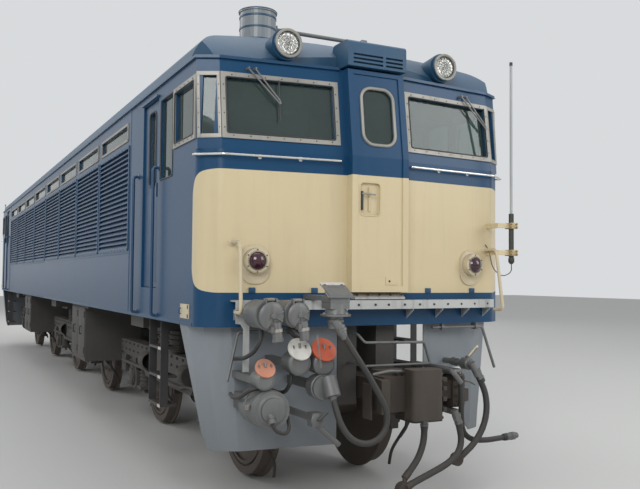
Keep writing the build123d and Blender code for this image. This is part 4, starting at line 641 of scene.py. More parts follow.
def mirror_in_x(bm):
    """Adds the left-hand copy of everything drawn so far."""
    verts, faces = doubled(bm)
    bmesh.ops.scale(bm, vec=(-1, 1, 1), verts=verts)
    bmesh.ops.reverse_faces(bm, faces=faces)


def make_piece(name, bm, finishes, body="body", origin=-HALF_LENGTH, end="front", stands_for=()):
    """Sets a drawn mesh in the model, gives it its finishes and lets it ride on its body."""
    to_metres = Matrix.Translation((0, origin, TREAD)) @ Matrix.Scale(0.001, 4)
    bmesh.ops.transform(bm, matrix=to_metres, verts=bm.verts)
    turned = doubled(bm)[0] if end == "both" else bm.verts[:]
    if end != "front":
        bmesh.ops.rotate(bm, cent=(0, 0, 0), matrix=Matrix.Rotation(math.pi, 3, "Z"), verts=turned)
    mesh = bpy.data.meshes.new(name)
    bm.to_mesh(mesh)
    bm.free()
    mesh.shade_smooth()
    mesh.set_sharp_from_angle(angle=SHARP_ANGLE)
    for finish in finishes:
        mesh.materials.append(FINISH[finish])
    piece = bpy.data.objects.new(name, mesh)
    bpy.context.scene.collection.objects.link(piece)
    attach(piece, body)
    if stands_for:
        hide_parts(*stands_for)
    made[name] = sum(len(p.vertices) - 2 for p in mesh.polygons)
    return piece


print("pieces are made by", make_piece.__name__)

# %% [markdown]
# ## Fasteners, springs and panel frames with Geometry Nodes
# A locomotive carries hundreds of equal bolts, dozens of springs and a row of equal panels. Each could be
# copied by hand, but then one change means hundreds. Here a node tree takes a list of points, each with a
# direction in its "facing" attribute, sets the same head or spring on all of them, and makes the result
# real.

# %% How a tree starts and ends
GEOMETRY, MATERIAL = "NodeSocketGeometry", "NodeSocketMaterial"


def start_tree(name, inputs):
    """Geometry tree with its named inputs and one geometry output."""
    tree = bpy.data.node_groups.new(name, "GeometryNodeTree")
    for label, kind in inputs:
        tree.interface.new_socket(label, in_out="INPUT", socket_type=kind)
    tree.interface.new_socket("Result", in_out="OUTPUT", socket_type=GEOMETRY)
    return tree, tree.nodes.new("NodeGroupInput").outputs, tree.nodes.new("NodeGroupOutput").inputs


def end_tree(tree, given, out, points, shape, turn=None):
    """Sets the shape on every point, realizes the copies and gives them their finish."""
    links = {"Points": points, "Instance": shape}
    if turn is not None:
        links["Rotation"] = turn
    copies = add_node(tree, "GeometryNodeInstanceOnPoints", links)
    real = add_node(tree, "GeometryNodeRealizeInstances", {0: copies.outputs[0]})
    finished = add_node(tree, "GeometryNodeSetMaterial", {
        "Geometry": real.outputs[0], "Material": given["Finish"]})
    tree.links.new(finished.outputs[0], out[0])
    return tree


print("every tree ends in", end_tree.__name__)

# %% The tree for bolts
HEAD_TAPER = 0.82


def make_bolt_tree():
    """A slightly tapered head on each point, square to its facing."""
    tree, given, out = start_tree("bolt field", [
        ("Points", GEOMETRY), ("Radius", FLOAT), ("Height", FLOAT), ("Sides", "NodeSocketInt"),
        ("Finish", MATERIAL)])
    top = maths(tree, "MULTIPLY", given["Radius"], HEAD_TAPER)
    head = add_node(tree, "GeometryNodeMeshCone", {
        "Vertices": given["Sides"], "Radius Top": top, "Radius Bottom": given["Radius"],
        "Depth": given["Height"]})
    facing = add_node(tree, "GeometryNodeInputNamedAttribute", {"Name": "facing"}, data_type="FLOAT_VECTOR")
    turn = add_node(tree, "FunctionNodeAlignRotationToVector", {"Vector": facing.outputs["Attribute"]},
                    axis="Z")
    return end_tree(tree, given, out, given["Points"], head.outputs["Mesh"], turn.outputs[0])


TREES = {"bolts": make_bolt_tree()}
print("tree", TREES["bolts"].name)

# %% The tree for springs


def make_spring_tree():
    """A round wire swept along a spiral, standing on each point."""
    tree, given, out = start_tree("spring field", [
        ("Points", GEOMETRY), ("Radius", FLOAT), ("Wire", FLOAT), ("Height", FLOAT), ("Turns", FLOAT),
        ("Finish", MATERIAL)])
    coil = add_node(tree, "GeometryNodeCurveSpiral", {
        "Resolution": 18, "Rotations": given["Turns"], "Start Radius": given["Radius"],
        "End Radius": given["Radius"], "Height": given["Height"]})
    ring = add_node(tree, "GeometryNodeCurvePrimitiveCircle", {"Resolution": 7, "Radius": given["Wire"]})
    wire = add_node(tree, "GeometryNodeCurveToMesh", {
        "Curve": coil.outputs[0], "Profile Curve": ring.outputs[0], "Fill Caps": True})
    return end_tree(tree, given, out, given["Points"], wire.outputs[0])


TREES["springs"] = make_spring_tree()
print("tree", TREES["springs"].name)

# %% The tree for panel frames


def make_panel_tree():
    """Four bars round a rectangle that lies in the body's side."""
    tree, given, out = start_tree("panel frames", [
        ("Points", GEOMETRY), ("Length", FLOAT), ("Height", FLOAT), ("Bar", FLOAT), ("Proud", FLOAT),
        ("Finish", MATERIAL)])
    joined = add_node(tree, "GeometryNodeJoinGeometry")
    for along, sign in ((0, -1), (0, 1), (1, -1), (1, 1)):
        span = given["Length"] if along else given["Height"]
        size = add_node(tree, "ShaderNodeCombineXYZ", {
            0: given["Proud"], 1: span if along else given["Bar"], 2: given["Bar"] if along else span})
        bar = add_node(tree, "GeometryNodeMeshCube", {"Size": size.outputs[0]})
        reach = maths(tree, "MULTIPLY", given["Height"] if along else given["Length"], 0.5 * sign)
        shift = add_node(tree, "ShaderNodeCombineXYZ", {2 if along else 1: reach})
        moved = add_node(tree, "GeometryNodeTransform", {
            "Geometry": bar.outputs[0], "Translation": shift.outputs[0]})
        tree.links.new(moved.outputs[0], joined.inputs[0])
    return end_tree(tree, given, out, given["Points"], joined.outputs[0])


TREES["panels"] = make_panel_tree()
print("tree", TREES["panels"].name)

# %% [markdown]
# ## From points to a field of copies
# The points go into a small mesh with their directions beside them, a modifier runs the tree over them, and
# what comes out is kept as a plain mesh. Nothing live is left, so the field is a piece like any other.

# %% A field of copies as one plain mesh


def copy_field(name, kind, places, finish, body="body", origin=-HALF_LENGTH, both_ends=False, **sizes):
    """Runs a tree over points in millimetres, and keeps the result as a plain mesh that rides its body."""
    points = [((x / 1000, y / 1000 + origin, z / 1000 + TREAD), facing) for (x, y, z), facing in places]
    if both_ends:
        points += [((-x, -y, z), (-u, -v, w)) for (x, y, z), (u, v, w) in points]
    mesh = bpy.data.meshes.new(name + " points")
    mesh.from_pydata([place for place, facing in points], [], [])
    attribute = mesh.attributes.new("facing", "FLOAT_VECTOR", "POINT")
    attribute.data.foreach_set("vector", [part for place, facing in points for part in facing])
    piece = bpy.data.objects.new(name, mesh)
    bpy.context.scene.collection.objects.link(piece)
    modifier = piece.modifiers.new(kind, "NODES")
    modifier.node_group = TREES[kind]
    values = {"Finish": FINISH[finish]}
    values.update({key.capitalize(): value for key, value in sizes.items()})
    for item in TREES[kind].interface.items_tree:
        if item.in_out == "INPUT" and item.name in values:
            modifier[item.identifier] = values[item.name]
    real = bpy.data.meshes.new_from_object(piece.evaluated_get(bpy.context.evaluated_depsgraph_get()))
    piece.modifiers.clear()
    piece.data = real
    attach(piece, body)
    made[name] = sum(len(p.vertices) - 2 for p in real.polygons)
    return piece


def both_sides(places):
    """Places with their directions, each with its mirror image in X."""
    return [((s * x, y, z), (s * u, v, w)) for (x, y, z), (u, v, w) in places for s in (-1, 1)]


def on_circle(count, radius, first=0.0):
    """Offsets of places evenly spaced round a circle, the first at so many degrees."""
    turns = [math.radians(first + 360 * k / count) for k in range(count)]
    return [(radius * math.cos(t), radius * math.sin(t)) for t in turns]


print("fields are made by", copy_field.__name__)

# %% [markdown]
# ## Outlines, plates and beads
# Panes, lids and window frames are rounded rectangles on a face that leans back. Each is drawn as a flat
# outline first, and its depth is looked up on the face, so one helper serves glass, beads and lids. A
# boolean cut would give the same edges with a far worse mesh.

# %% Outlines, plates and beads


def rounded(u0, u1, v0, v1, radius, steps=5):
    """Rectangle with rounded corners, as pairs in order round it."""
    corners = ((u1 - radius, v0 + radius, -90), (u1 - radius, v1 - radius, 0),
               (u0 + radius, v1 - radius, 90), (u0 + radius, v0 + radius, 180))
    turns = [(u, v, math.radians(first + 90 * k / steps))
             for u, v, first in corners for k in range(steps + 1)]
    return [(u + radius * math.cos(t), v + radius * math.sin(t)) for u, v, t in turns]


def add_plate(bm, outline, push, slot=0, bevel=1.5):
    """Plate from its outline in space, as thick as the push."""
    part = bmesh.new()
    face = part.faces.new([part.verts.new(point) for point in outline])
    grown = bmesh.ops.extrude_face_region(part, geom=[face])["geom"]
    bmesh.ops.translate(part, vec=push, verts=[v for v in grown if isinstance(v, bmesh.types.BMVert)])
    join_in(bm, part, slot, bevel)


def add_hoop(bm, outline, radius, out=OUT, slot=0, steps=8):
    """Round bead along a closed outline, such as a window's rubber."""
    part = bmesh.new()
    outline = [Vector(p) for p in outline]
    out = Vector(out).normalized()
    rings = []
    for n, point in enumerate(outline):
        way = (outline[(n + 1) % len(outline)] - outline[n - 1]).normalized()
        rings.append(ring_round(part, point, radius, out, way.cross(out).normalized(), steps))
    add_rings(part, rings, closed=True)
    join_in(bm, part, slot)


print("flat parts are made by", add_plate.__name__, "and beads by", add_hoop.__name__)

# %% Where an outline lies on the body


def leaf_face(z):
    """Depth of the gangway door's face at a height."""
    return -79.7 + LEAN * max(0, z - BELT)


def on_leaf(outline, out):
    """Outline laid on the gangway door, so far out from its face."""
    return [(u, leaf_face(v) - out, v) for u, v in outline]


def on_side(outline, x):
    """Outline laid in a plane beside the body."""
    return [(x, u, v) for u, v in outline]


print("door leaf at the belt", leaf_face(BELT))

# %% [markdown]
# ## Windows in the doors
# Each door of the cab swings, so its glass and the bead that holds it belong to the door's own body. The
# real gangway window sits in a thick light-grey rubber moulding. A round bead along the opening's outline
# shows that better than a flat ring would, because its highlight runs round the corners.

# %% Gangway windows
for end in ("front", "rear"):
    bm = bmesh.new()
    add_hoop(bm, on_leaf(rounded(-147, 147, 2785, 3248, 93, 8), 3), 14, slot=0, steps=10)
    add_plate(bm, on_leaf(rounded(-140, 140, 2792, 3241, 86), -15), (0, 6, 0), 1, 0)
    # Lock plate with its keyhole, drawn as a black disc of painted shade, the outline of the lower panel, and
    # the handle
    add_box(bm, (52, leaf_face(0) - 5, 1688), (158, leaf_face(0) + 1, 1752), 2)
    add_lathe(bm, [(9, 0), (9, 3), (0, 3)], (84, leaf_face(0) - 4, 1716), OUT, 3, 14)
    add_hoop(bm, on_leaf(rounded(-184, 1, 2225, 2485, 34), 1), 5, slot=2)
    add_box(bm, (-176, -86, 2268), (-156, -52, 2416), 3, 3)
    add_tube(bm, [(-166, -84, 2392), (-166, -96, 2396), (-52, -98, 2390)], 7, 12, slot=0, steps=10)
    make_piece("gangway_window_" + end, bm, ["alloy", "glass", "livery", "black"],
               "gangway_door_%s_leaf" % end, end=end)
print("gangway windows", [name for name in made if "window" in name])

# %% Panes of the cab doors
for node in ("cab_door_front_right", "cab_door_front_left", "cab_door_rear_right", "cab_door_rear_left"):
    low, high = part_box(node)
    end = "front" if low.y + high.y < 0 else "rear"
    # The rear cab is drawn as the front one and turned, so its sides change places
    side = math.copysign(1, low.x + high.x) * (1 if end == "front" else -1)
    bm = bmesh.new()
    add_plate(bm, on_side(rounded(1489, 1701, 2549, 3211, 51), side * 1356), (side * 6, 0, 0), 1, 0)
    add_hoop(bm, on_side(rounded(1484, 1706, 2544, 3216, 56), side * 1381), 9, (side, 0, 0), 0)
    add_plate(bm, on_side(rounded(1392, 1810, 1690, 2480, 30), side * 1379), (side * 4, 0, 0), 2, 1)
    make_piece(node.replace("cab_door", "door_pane"), bm, ["rubber", "glass", "blue"], node + "_leaf",
               end=end)
print("door panes", [name for name in made if "pane" in name])

# %% [markdown]
# ## Cab windows and rain gutter
# The fixed windows are held by screwed aluminium frames with a dark rubber inside. A narrow frame stands on
# the corner pane too, and a gutter of bent sheet runs over all of them, so that rain from the roof misses
# the glass.

# %% Rubber beads of the fixed windows
FACE_OUT = Vector((SWEEP, -1, LEAN)).normalized()
bm = bmesh.new()
front_pane = [(u, face_back(u, v) - 11, v) for u, v in rounded(351, 1208, 2810, 3243, 14, 3)]
add_hoop(bm, front_pane, 6, FACE_OUT, 0)
add_hoop(bm, on_side(rounded(303, 812, 2810, 3223, 14, 3), 1411), 6, RIGHT, 0)
add_hoop(bm, on_side(rounded(886, 1262, 2564, 3254, 14, 3), 1398), 8, RIGHT, 0)
mirror_in_x(bm)
make_piece("window_beads", bm, ["rubber"], end="both")
print("bead triangles", made["window_beads"])

# %% Frames of the slanted corner panes
CORNER_X, CORNER_Y = 0.597, -0.802      # the way that the corner face looks


def on_corner(t, z, out):
    """Point of the slanted corner face, t of the way from the front face to the side."""
    front = Vector((1247, 111 + LEAN * (z - BELT), z))
    side = Vector((1400, 225 + 0.0785 * (z - BELT), z))
    return front.lerp(side, t) + Vector((CORNER_X, CORNER_Y, 0.06)) * out


bm = bmesh.new()
for t0, t1, z0, z1 in ((0.0, 1.0, 2771, 2802), (0.0, 1.0, 3251, 3282),
                       (0.0, 0.13, 2802, 3251), (0.87, 1.0, 2802, 3251)):
    bar = [on_corner(t, z, -2) for t, z in ((t0, z0), (t1, z0), (t1, z1), (t0, z1))]
    add_plate(bm, bar, (CORNER_X * 10, CORNER_Y * 10, 0), 0, 2)
mirror_in_x(bm)
make_piece("corner_window_frames", bm, ["alloy"], end="both")
print("corner frame triangles", made["corner_window_frames"])

# %% Rain gutter
GUTTER_INNER = [(290, 92), (1247, 203), (1399, 280), (1399, 8500)]
GUTTER_LIP = [(290, 76), (1252, 187), (1414, 271), (1414, 8500)]
GUTTER_OUTER = [(290, 70), (1253, 181), (1420, 268), (1420, 8500)]
bm = bmesh.new()
for z0, z1, run in ((3384, 3390, GUTTER_OUTER), (3390, 3408, GUTTER_LIP)):
    for (a, b), (c, d) in zip(zip(GUTTER_INNER, GUTTER_INNER[1:]), zip(run, run[1:])):
        add_plate(bm, [(*a, z0), (*b, z0), (*d, z0), (*c, z0)], (0, 0, z1 - z0), 0, 0)
mirror_in_x(bm)
make_piece("rain_gutter", bm, ["blue"], end="both")
print("gutter triangles", made["rain_gutter"])

# %% Screws of the window frames
face_places = [(x, z) for x in (380, 510, 640, 770, 900, 1030, 1160) for z in (2792, 3261)]
face_places += [(x, z) for x in (333, 1226) for z in (2850, 2960, 3070, 3180)]
screws = [((x, face_back(x, z) - 12, z), FACE_OUT) for x, z in face_places]
screws += [(on_corner(t, z, 6)[:2] + (z,), (CORNER_X, CORNER_Y, 0))
           for z in (2850, 2960, 3070, 3180) for t in (0.065, 0.935)]
screws += [((1412, y, z), RIGHT) for y in (330, 440, 550, 660, 770) for z in (2793, 3240)]
screws = both_sides(screws)
copy_field("window_screws", "bolts", screws, "iron", both_ends=True, radius=0.0055, height=0.0035, sides=8)
print("window screws", len(screws) * 2)

# %% [markdown]
# ## Handrails
# The rails are bent steel bar, painted cream in front of the cream band and blue beside the doors, with a
# bright strip under the windows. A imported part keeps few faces, so here they are drawn again as round tubes
# on the same lines, with the round foot plates that screw them to the body.

# %% Rails beside the face and the doors
FACE_WAY = (SWEEP, -1, 0)
DOOR_RAIL_LOW, DOOR_RAIL_HIGH = 1407, 2678
bm = bmesh.new()
head = face_back(1162, 0)
add_tube(bm, [(1162, head + 6, 1994), (1162, -59, 1994), (1175, -133, 1484), (1175, -15, 1484)], 14, 45)
add_lathe(bm, [(30, -4), (30, 5), (24, 9), (0, 9)], (1162, head, 1994), FACE_WAY)
mirror_in_x(bm)
make_piece("front_rails", bm, ["bar"], end="both", stands_for=("handrails",))
bm = bmesh.new()
for y in (1300, 2015):
    ends = [(1396, y, DOOR_RAIL_LOW), (1450, y, DOOR_RAIL_LOW), (1450, y, DOOR_RAIL_HIGH),
            (1396, y, DOOR_RAIL_HIGH)]
    add_tube(bm, ends, 14, 30)
    for z in (DOOR_RAIL_LOW, DOOR_RAIL_HIGH):
        add_lathe(bm, [(28, -3), (28, 4), (22, 8), (0, 8)], (1400, y, z), RIGHT)
mirror_in_x(bm)
make_piece("door_rails", bm, ["blue"], end="both", stands_for=("handrails",))
print("rails", made["front_rails"], made["door_rails"])

# %% Bright strip and uncoupling levers
STRIP_Z, STRIP_OUT = 2643, 45
LEVER_Z = 1334
bm = bmesh.new()
root, corner = face_back(330, STRIP_Z), face_back(1247, STRIP_Z)
add_tube(bm, [(322, root + 4, STRIP_Z), (322, root - STRIP_OUT, STRIP_Z), (1247, corner - STRIP_OUT, STRIP_Z),
              (1440, 215, STRIP_Z), (1396, 262, STRIP_Z)], 9, 16)
for x in (640, 960):
    back = face_back(x, STRIP_Z)
    add_tube(bm, [(x, back + 4, STRIP_Z), (x, back - STRIP_OUT, STRIP_Z)], 7)
    add_lathe(bm, [(18, -3), (18, 3), (0, 5)], (x, back, STRIP_Z), FACE_WAY)
mirror_in_x(bm)
make_piece("front_strip", bm, ["chrome"], end="both", stands_for=("handrails",))
bm = bmesh.new()
add_tube(bm, [(600, 75, LEVER_Z), (1117, 75, LEVER_Z), (1152, 60, 1208), (1214, 30, 983)], 12, 25)
for x in (700, 1050):
    add_box(bm, (x - 8, 60, LEVER_Z - 20), (x + 8, face_back(x, 0) + 40, LEVER_Z + 33), 0)
    add_lathe(bm, [(22, -14), (22, 14)], (x, 75, LEVER_Z), RIGHT)
mirror_in_x(bm)
make_piece("uncoupling_levers", bm, ["gear"], end="front", stands_for=("handrails",))
print("strip and levers", made["front_strip"], made["uncoupling_levers"])

# %% [markdown]
# ## Lamps
# A headlamp is a silvered bowl behind a fluted glass in a bright ring; a tail lamp is a dark red glass
# behind a screwed ring. All of them are turned shapes, so each is one profile spun round the lamp's axis.

# %% Headlamps
LAMP = (LAMP_X, 107, LAMP_Z)
BOWL = [(93, 0), (88, 8), (70, 15), (40, 12), (14, 3), (0, 2)]
BULB = [(13, 0), (13, 14), (8, 20), (0, 21)]
LENS = [(92, 16), (92, 22), (80, 29), (55, 34), (25, 37), (0, 38)]
RING = [(112, 26), (115, 31), (111, 37), (100, 38), (93, 34), (92, 24)]
bm = bmesh.new()
for profile, slot, steps in ((BOWL, 0, 40), (BULB, 0, 16), (LENS, 1, 48)):
    add_lathe(bm, profile, LAMP, OUT, slot, steps)
mirror_in_x(bm)
make_piece("headlamp_glasses", bm, ["chrome", "lens"], end="both", stands_for=("headlamp_lenses",))
bm = bmesh.new()
add_lathe(bm, RING, LAMP, OUT, 0, 48)
for u, v in on_circle(3, 106, 30):
    add_box(bm, (LAMP_X + u - 7, 66, LAMP_Z + v - 7), (LAMP_X + u + 7, 82, LAMP_Z + v + 7), 0)
mirror_in_x(bm)
make_piece("headlamp_rings", bm, ["alloy"], end="both")
print("headlamps", made["headlamp_glasses"], made["headlamp_rings"])

# %% Tail lamps
TAIL_OUT = Vector(FACE_WAY).normalized()
TAIL_ALONG = Vector((1, SWEEP, 0)).normalized()
TAIL = Vector((987, face_back(987, 1860), 1860))
TAIL_HOUSING = [(93, 0), (93, 62), (90, 70), (84, 74), (76, 74), (71, 70), (69, 60)]
TAIL_FLANGE = [(112, 8), (112, 13), (104, 16), (95, 16)]
TAIL_RING = [(69, 60), (69, 78), (66, 80), (64, 78), (64, 66)]
bm = bmesh.new()
for profile, slot in ((TAIL_HOUSING, 0), (TAIL_FLANGE, 0), (TAIL_RING, 1)):
    add_lathe(bm, profile, TAIL, TAIL_OUT, slot, 40)
mirror_in_x(bm)
make_piece("tail_lamp_rings", bm, ["bar", "alloy"], end="both")
studs = both_sides([(TAIL + TAIL_ALONG * u + Vector((0, 0, v)) + TAIL_OUT * 73, TAIL_OUT)
                    for u, v in on_circle(6, 82, 30)])
copy_field("tail_lamp_screws", "bolts", studs, "iron", both_ends=True, radius=0.006, height=0.004, sides=8)
print("tail lamps", made["tail_lamp_rings"], made["tail_lamp_screws"])

# %% [markdown]
# ## Jumper gear on the leading end
# Heavy cables used to join two locomotives here. Their sockets are ribbed drums under sprung lids, and a
# real one is cast, turned and bolted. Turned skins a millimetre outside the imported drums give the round
# castings, and the lids, springs, latches and bolts that make them read as machines are added on top.

# %% Helpers for drums and sprung lids


def turned_drum(radius):
    """Profile of a ribbed casting with a rolled edge at its mouth."""
    return [(0, -262), (radius * 0.9, -262), (radius + 1, -254), (radius + 1, -232), (radius * 0.93, -226),
            (radius + 1, -200), (radius + 1, -40), (radius + 9, -34), (radius + 9, -8), (radius + 2, 0),
            (radius - 20, 2), (0, 2)]


def turned_socket(radius, depth):
    """Profile of a smaller socket, open to its contact plate."""
    return [(0, -depth), (radius * 0.9, -depth), (radius + 1, 10 - depth), (radius + 1, -46),
            (radius + 8, -40), (radius + 8, -10), (radius + 1, -2), (radius - 10, 3), (radius - 14, -16),
            (0, -18)]


def add_lid_spring(bm, middle, half_coil, coil, wire, turns, half_pin, pin):
    """Coil spring round a hinge pin, both along X, in the second finish."""
    x, y, z = middle
    add_coil(bm, (x - half_coil, y, z), coil, wire, 2 * half_coil, turns, way=RIGHT, slot=1)
    add_tube(bm, [(x - half_pin, y, z), (x + half_pin, y, z)], pin, slot=1)


def add_lugs(bm, x, half, spread, y0, y1, z0, z1):
    """The two lugs that hold a hinge pin."""
    for s in (-1, 1):
        add_box(bm, (x + spread * s - half, y0, z0), (x + spread * s + half, y1, z1), 0)


print("drum profile has", len(turned_drum(100)), "points")

# %% The two upper drums
DRUM_FRONT = -412
UPPER_DRUMS = ((-1072, 1480, 100), (-868, 1485, 90))     # X, Z and radius
castings = bmesh.new()
for x, z, radius in UPPER_DRUMS:
    top = z + radius
    add_lathe(castings, turned_drum(radius), (x, DRUM_FRONT, z), OUT, 0, 36)
    lid = Vector((x + 6, -440, z - 6))
    dome = [(radius - 4, -16), (radius - 2, -4), (radius - 10, 4), (radius - 30, 12), (0, 16)]
    add_lathe(castings, dome, lid, (0.12, -1, -0.1), 0, 36)
    for u, v in on_circle(8, radius - 14, 20)[:4]:
        rib = Vector((u, 0, v))
        add_tube(castings, [lid - rib + Vector((0, -2, 0)), lid + Vector((2, -18, -2)),
                            lid + rib + Vector((0, -2, 0))], 6)
    add_lathe(castings, [(20, 0), (20, 12), (12, 20), (0, 20)], lid + Vector((2, -12, -2)), OUT, 0, 20)
    add_lid_spring(castings, (x, -418, top + 4), 30, 11, 3.5, 7, 44, 6)
    add_lugs(castings, x, 5, 38, -446, -398, top - 26, top + 16)
    # The latch over the lid, and the cable's gland below it
    add_box(castings, (x - 12, -470, z - radius - 16), (x + 12, -404, z - radius + 22), 0, 4)
    add_tube(castings, [(x + 40, -425, z - 52), (x + 55, -435, z - 178)], 35.5, slot=0, steps=18)
    add_tube(castings, [(x + 45, -428, z - 96), (x + 47.5, -430, z - 118)], 41, slot=1, steps=18)
    add_tube(castings, [(x + 52, -433, z - 160), (x + 54.4, -435, z - 182)], 40, slot=0, steps=6)
print("upper drums", len(castings.verts), "points")

# %% The three lower sockets with their coloured lids
LOWER_SOCKETS = ((-831, 1140, 78, -400, 84, 2), (-640, 1130, 78, -400, 90, 3), (-1085, 1032, 62, -390, 70, 4))
SOCKET_BACK = -240
LID_WAY = Vector((0, -0.819, 0.574))
for x, z, radius, front, lid_radius, finish in LOWER_SOCKETS:
    top = z + radius
    add_lathe(castings, turned_socket(radius, SOCKET_BACK - front), (x, front, z), OUT, 0, 32)
    for u, v in on_circle(4, 26, 45):
        add_lathe(castings, [(8, 0), (8, 14), (4, 18), (0, 18)], (x + u, front + 20, z + v), OUT, 1, 12)
    lid = Vector((x, front + 20, top + 20))
    add_lathe(castings, [(0, -9), (lid_radius - 14, -9), (lid_radius - 10, -7), (lid_radius + 2, -8),
                         (lid_radius + 3, 7), (lid_radius - 6, 10), (0, 13)], lid, LID_WAY, finish, 36)
    add_tube(castings, [lid + LID_WAY * 12, lid + LID_WAY * 24 + Vector((0, 20, 28))], 9, slot=0)
    add_lid_spring(castings, (x, front + 34, top + 36), 40, 10, 3, 9, 50, 5.5)
    add_lugs(castings, x, 4, 46, front + 8, front + 52, top - 14, top + 48)
make_piece("jumper_castings", castings, ["gear", "alloy", "white", "orange", "copper_lid"])
print("socket triangles", made["jumper_castings"])

# %% [markdown]
# ## Storage drum, plugs and leads
# The free end of the jumper cable is kept in a dummy socket, and short leads carry the circuits from the
# other sockets into the body. Turned profiles give the drum and the plugs. Tubes with rounded bends give
# the leads, and their ends are sunk in the body, so that none looks cut off.

# %% Storage drum and its plug
STORAGE_DRUM = [
    (0, -311), (118, -311), (131.5, -300), (131.5, -214), (138, -208), (138, -186), (131.5, -180),
    (131.5, -60), (136, -54), (136, -32), (128, -16), (112, -2), (88, 6), (86, 26), (60, 32), (0, 34)]
details = bmesh.new()
add_lathe(details, STORAGE_DRUM, (-1040, -400, 830), OUT, 0, 48)
add_tube(details, [(-1063, -418, 802), (-1063, -458, 746)], 27.5, steps=18)
add_tube(details, [(-1063, -430, 786), (-1063, -438, 775)], 34, steps=6)
add_coil(details, (-1180, -300, 830), 16, 4, 34, 4, slot=1)
add_tube(details, [(-1063, -456, 748), (-1040, -462, 700), (-960, -440, 668), (-900, -380, 690),
                   (-880, -300, 760)], 13, 40, slot=2)
print("storage drum", len(details.verts), "points")

# %% Jumper head and its bracket
HEAD_X, HEAD_Y = -575, -430
PLATE_TOP, PLATE_LOW = 1702, 1602
JUMPER_HEAD = [
    (0, 0), (53, 0), (53.5, 40), (60, 46), (60, 62), (54, 68), (54, 86), (109.5, 88), (110, 101), (76, 106),
    (73.5, 114), (73.5, 176), (66, 182)]
add_lathe(details, JUMPER_HEAD, (HEAD_X, HEAD_Y, 1380), UP, 0, 36)
for u, v in on_circle(6, 92):
    add_lathe(details, [(9, 0), (9, 10), (0, 12)], (HEAD_X + u, HEAD_Y + v, 1482), UP, 1, 6)
add_box(details, (HEAD_X - 78, HEAD_Y - 73, 1562), (HEAD_X + 78, HEAD_Y + 73, 1612), 0, 8)
slope = Vector((0, -138, PLATE_LOW - PLATE_TOP)).normalized()
for u in (-78, 58):
    for v in (28, 126):
        spot = Vector((HEAD_X + u, HEAD_Y + 40, PLATE_TOP)) + slope * v
        add_lathe(details, [(11, 0), (11, 4), (6, 4), (5, 1), (0, 1)], spot, (0, -0.586, 0.81), 3, 14)
x0, x1, y0, y1 = HEAD_X - 106, HEAD_X + 86, HEAD_Y + 42, HEAD_Y - 96
add_plate(details, [(x0, y0, PLATE_TOP), (x1, y0, PLATE_TOP), (x1, y1, PLATE_LOW), (x0, y1, PLATE_LOW)],
          (0, 1.5, 4), 4, 1)
print("with the jumper head", len(details.verts), "points")

# %% Plugs at the cable's ends and the dummy socket
PLUG = [(0, -62), (36, -62), (36, -40), (41, -38), (41, -20), (34, -18), (30, 6), (25, 22), (23, 40)]
DUMMY = [(86, -108), (86.5, -30), (92, -26), (92, -6), (86, 0), (70, 6), (0, 6)]
DUMMY_X, DUMMY_Z = -655, 965
for spot, way in (((-545, -485, 1345), (0.35, -0.16, -0.92)), ((-605, -455, 905), (0.05, -0.2, -1))):
    add_lathe(details, PLUG, spot, way, 0, 20)
add_lathe(details, DUMMY, (DUMMY_X, -398, DUMMY_Z), OUT, 0, 32)
for u, v in on_circle(8, 76):
    add_lathe(details, [(7, 0), (7, 8), (0, 9)], (DUMMY_X + u, -402, DUMMY_Z + v), OUT, 1, 6)
add_lathe(details, [(48, 0), (48, 78), (40, 84), (0, 84)], (-706, -342, 746), OUT, 0, 24)
add_tube(details, [(-706, -382, 716), (-516, -382, 551)], 21, steps=16)
add_tube(details, [(-706, -428, 746), (-706, -446, 746), (-640, -452, 800)], 8, 10, slot=3)
make_piece("jumper_details", details, ["gear", "alloy", "rubber", "black", "white"])
print("jumper detail triangles", made["jumper_details"])

# %% Socket leads and lid chain
LEADS = (
    [(-1072, -270, 1372), (-1090, -300, 1300), (-1120, -260, 1220), (-1130, -100, 1160), (-1128, 125, 1135)],
    [(-868, -270, 1392), (-850, -300, 1330), (-760, -300, 1290), (-700, -200, 1330), (-690, 90, 1372)],
    [(-831, -250, 1080), (-840, -270, 1010), (-860, -230, 930), (-856, -110, 900), (-850, 110, 900)],
    [(-640, -262, 1062), (-610, -272, 1040), (-560, -200, 1040), (-520, -100, 1080), (-500, 70, 1100)],
    [(-1085, -300, 976), (-1160, -280, 960), (-1200, -200, 900), (-1200, -60, 880), (-1150, 130, 880)])
CHAIN_TOP, CHAIN_END, LINKS = Vector((-726, -448, 1330)), Vector((-700, -455, 1120)), 22
bm = bmesh.new()
for points in LEADS:
    add_tube(bm, points, 15, 60, slot=0, steps=12)
for n in range(LINKS):
    spot = CHAIN_TOP.lerp(CHAIN_END, n / (LINKS - 1))
    # Every other link is turned a quarter
    link = [(u, 0, v * 8) if n % 2 else (0, w, v * 8)
            for u, w, v in ((7 * c, 5 * c, s) for c, s in on_circle(10, 1))]
    add_hoop(bm, [spot + Vector(point) for point in link], 1.6, (0, 1, 0) if n % 2 else RIGHT, 1, 5)
make_piece("jumper_leads", bm, ["rubber", "alloy"])
print("lead triangles", made["jumper_leads"])

# %% [markdown]
# ## Air pipes, coupler and ledge
# Air pipes are steel tube joined by hexagon unions, and each cock has a flat lever. On the coupler the pins
# and bolt heads tell a viewer how it comes apart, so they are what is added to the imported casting.

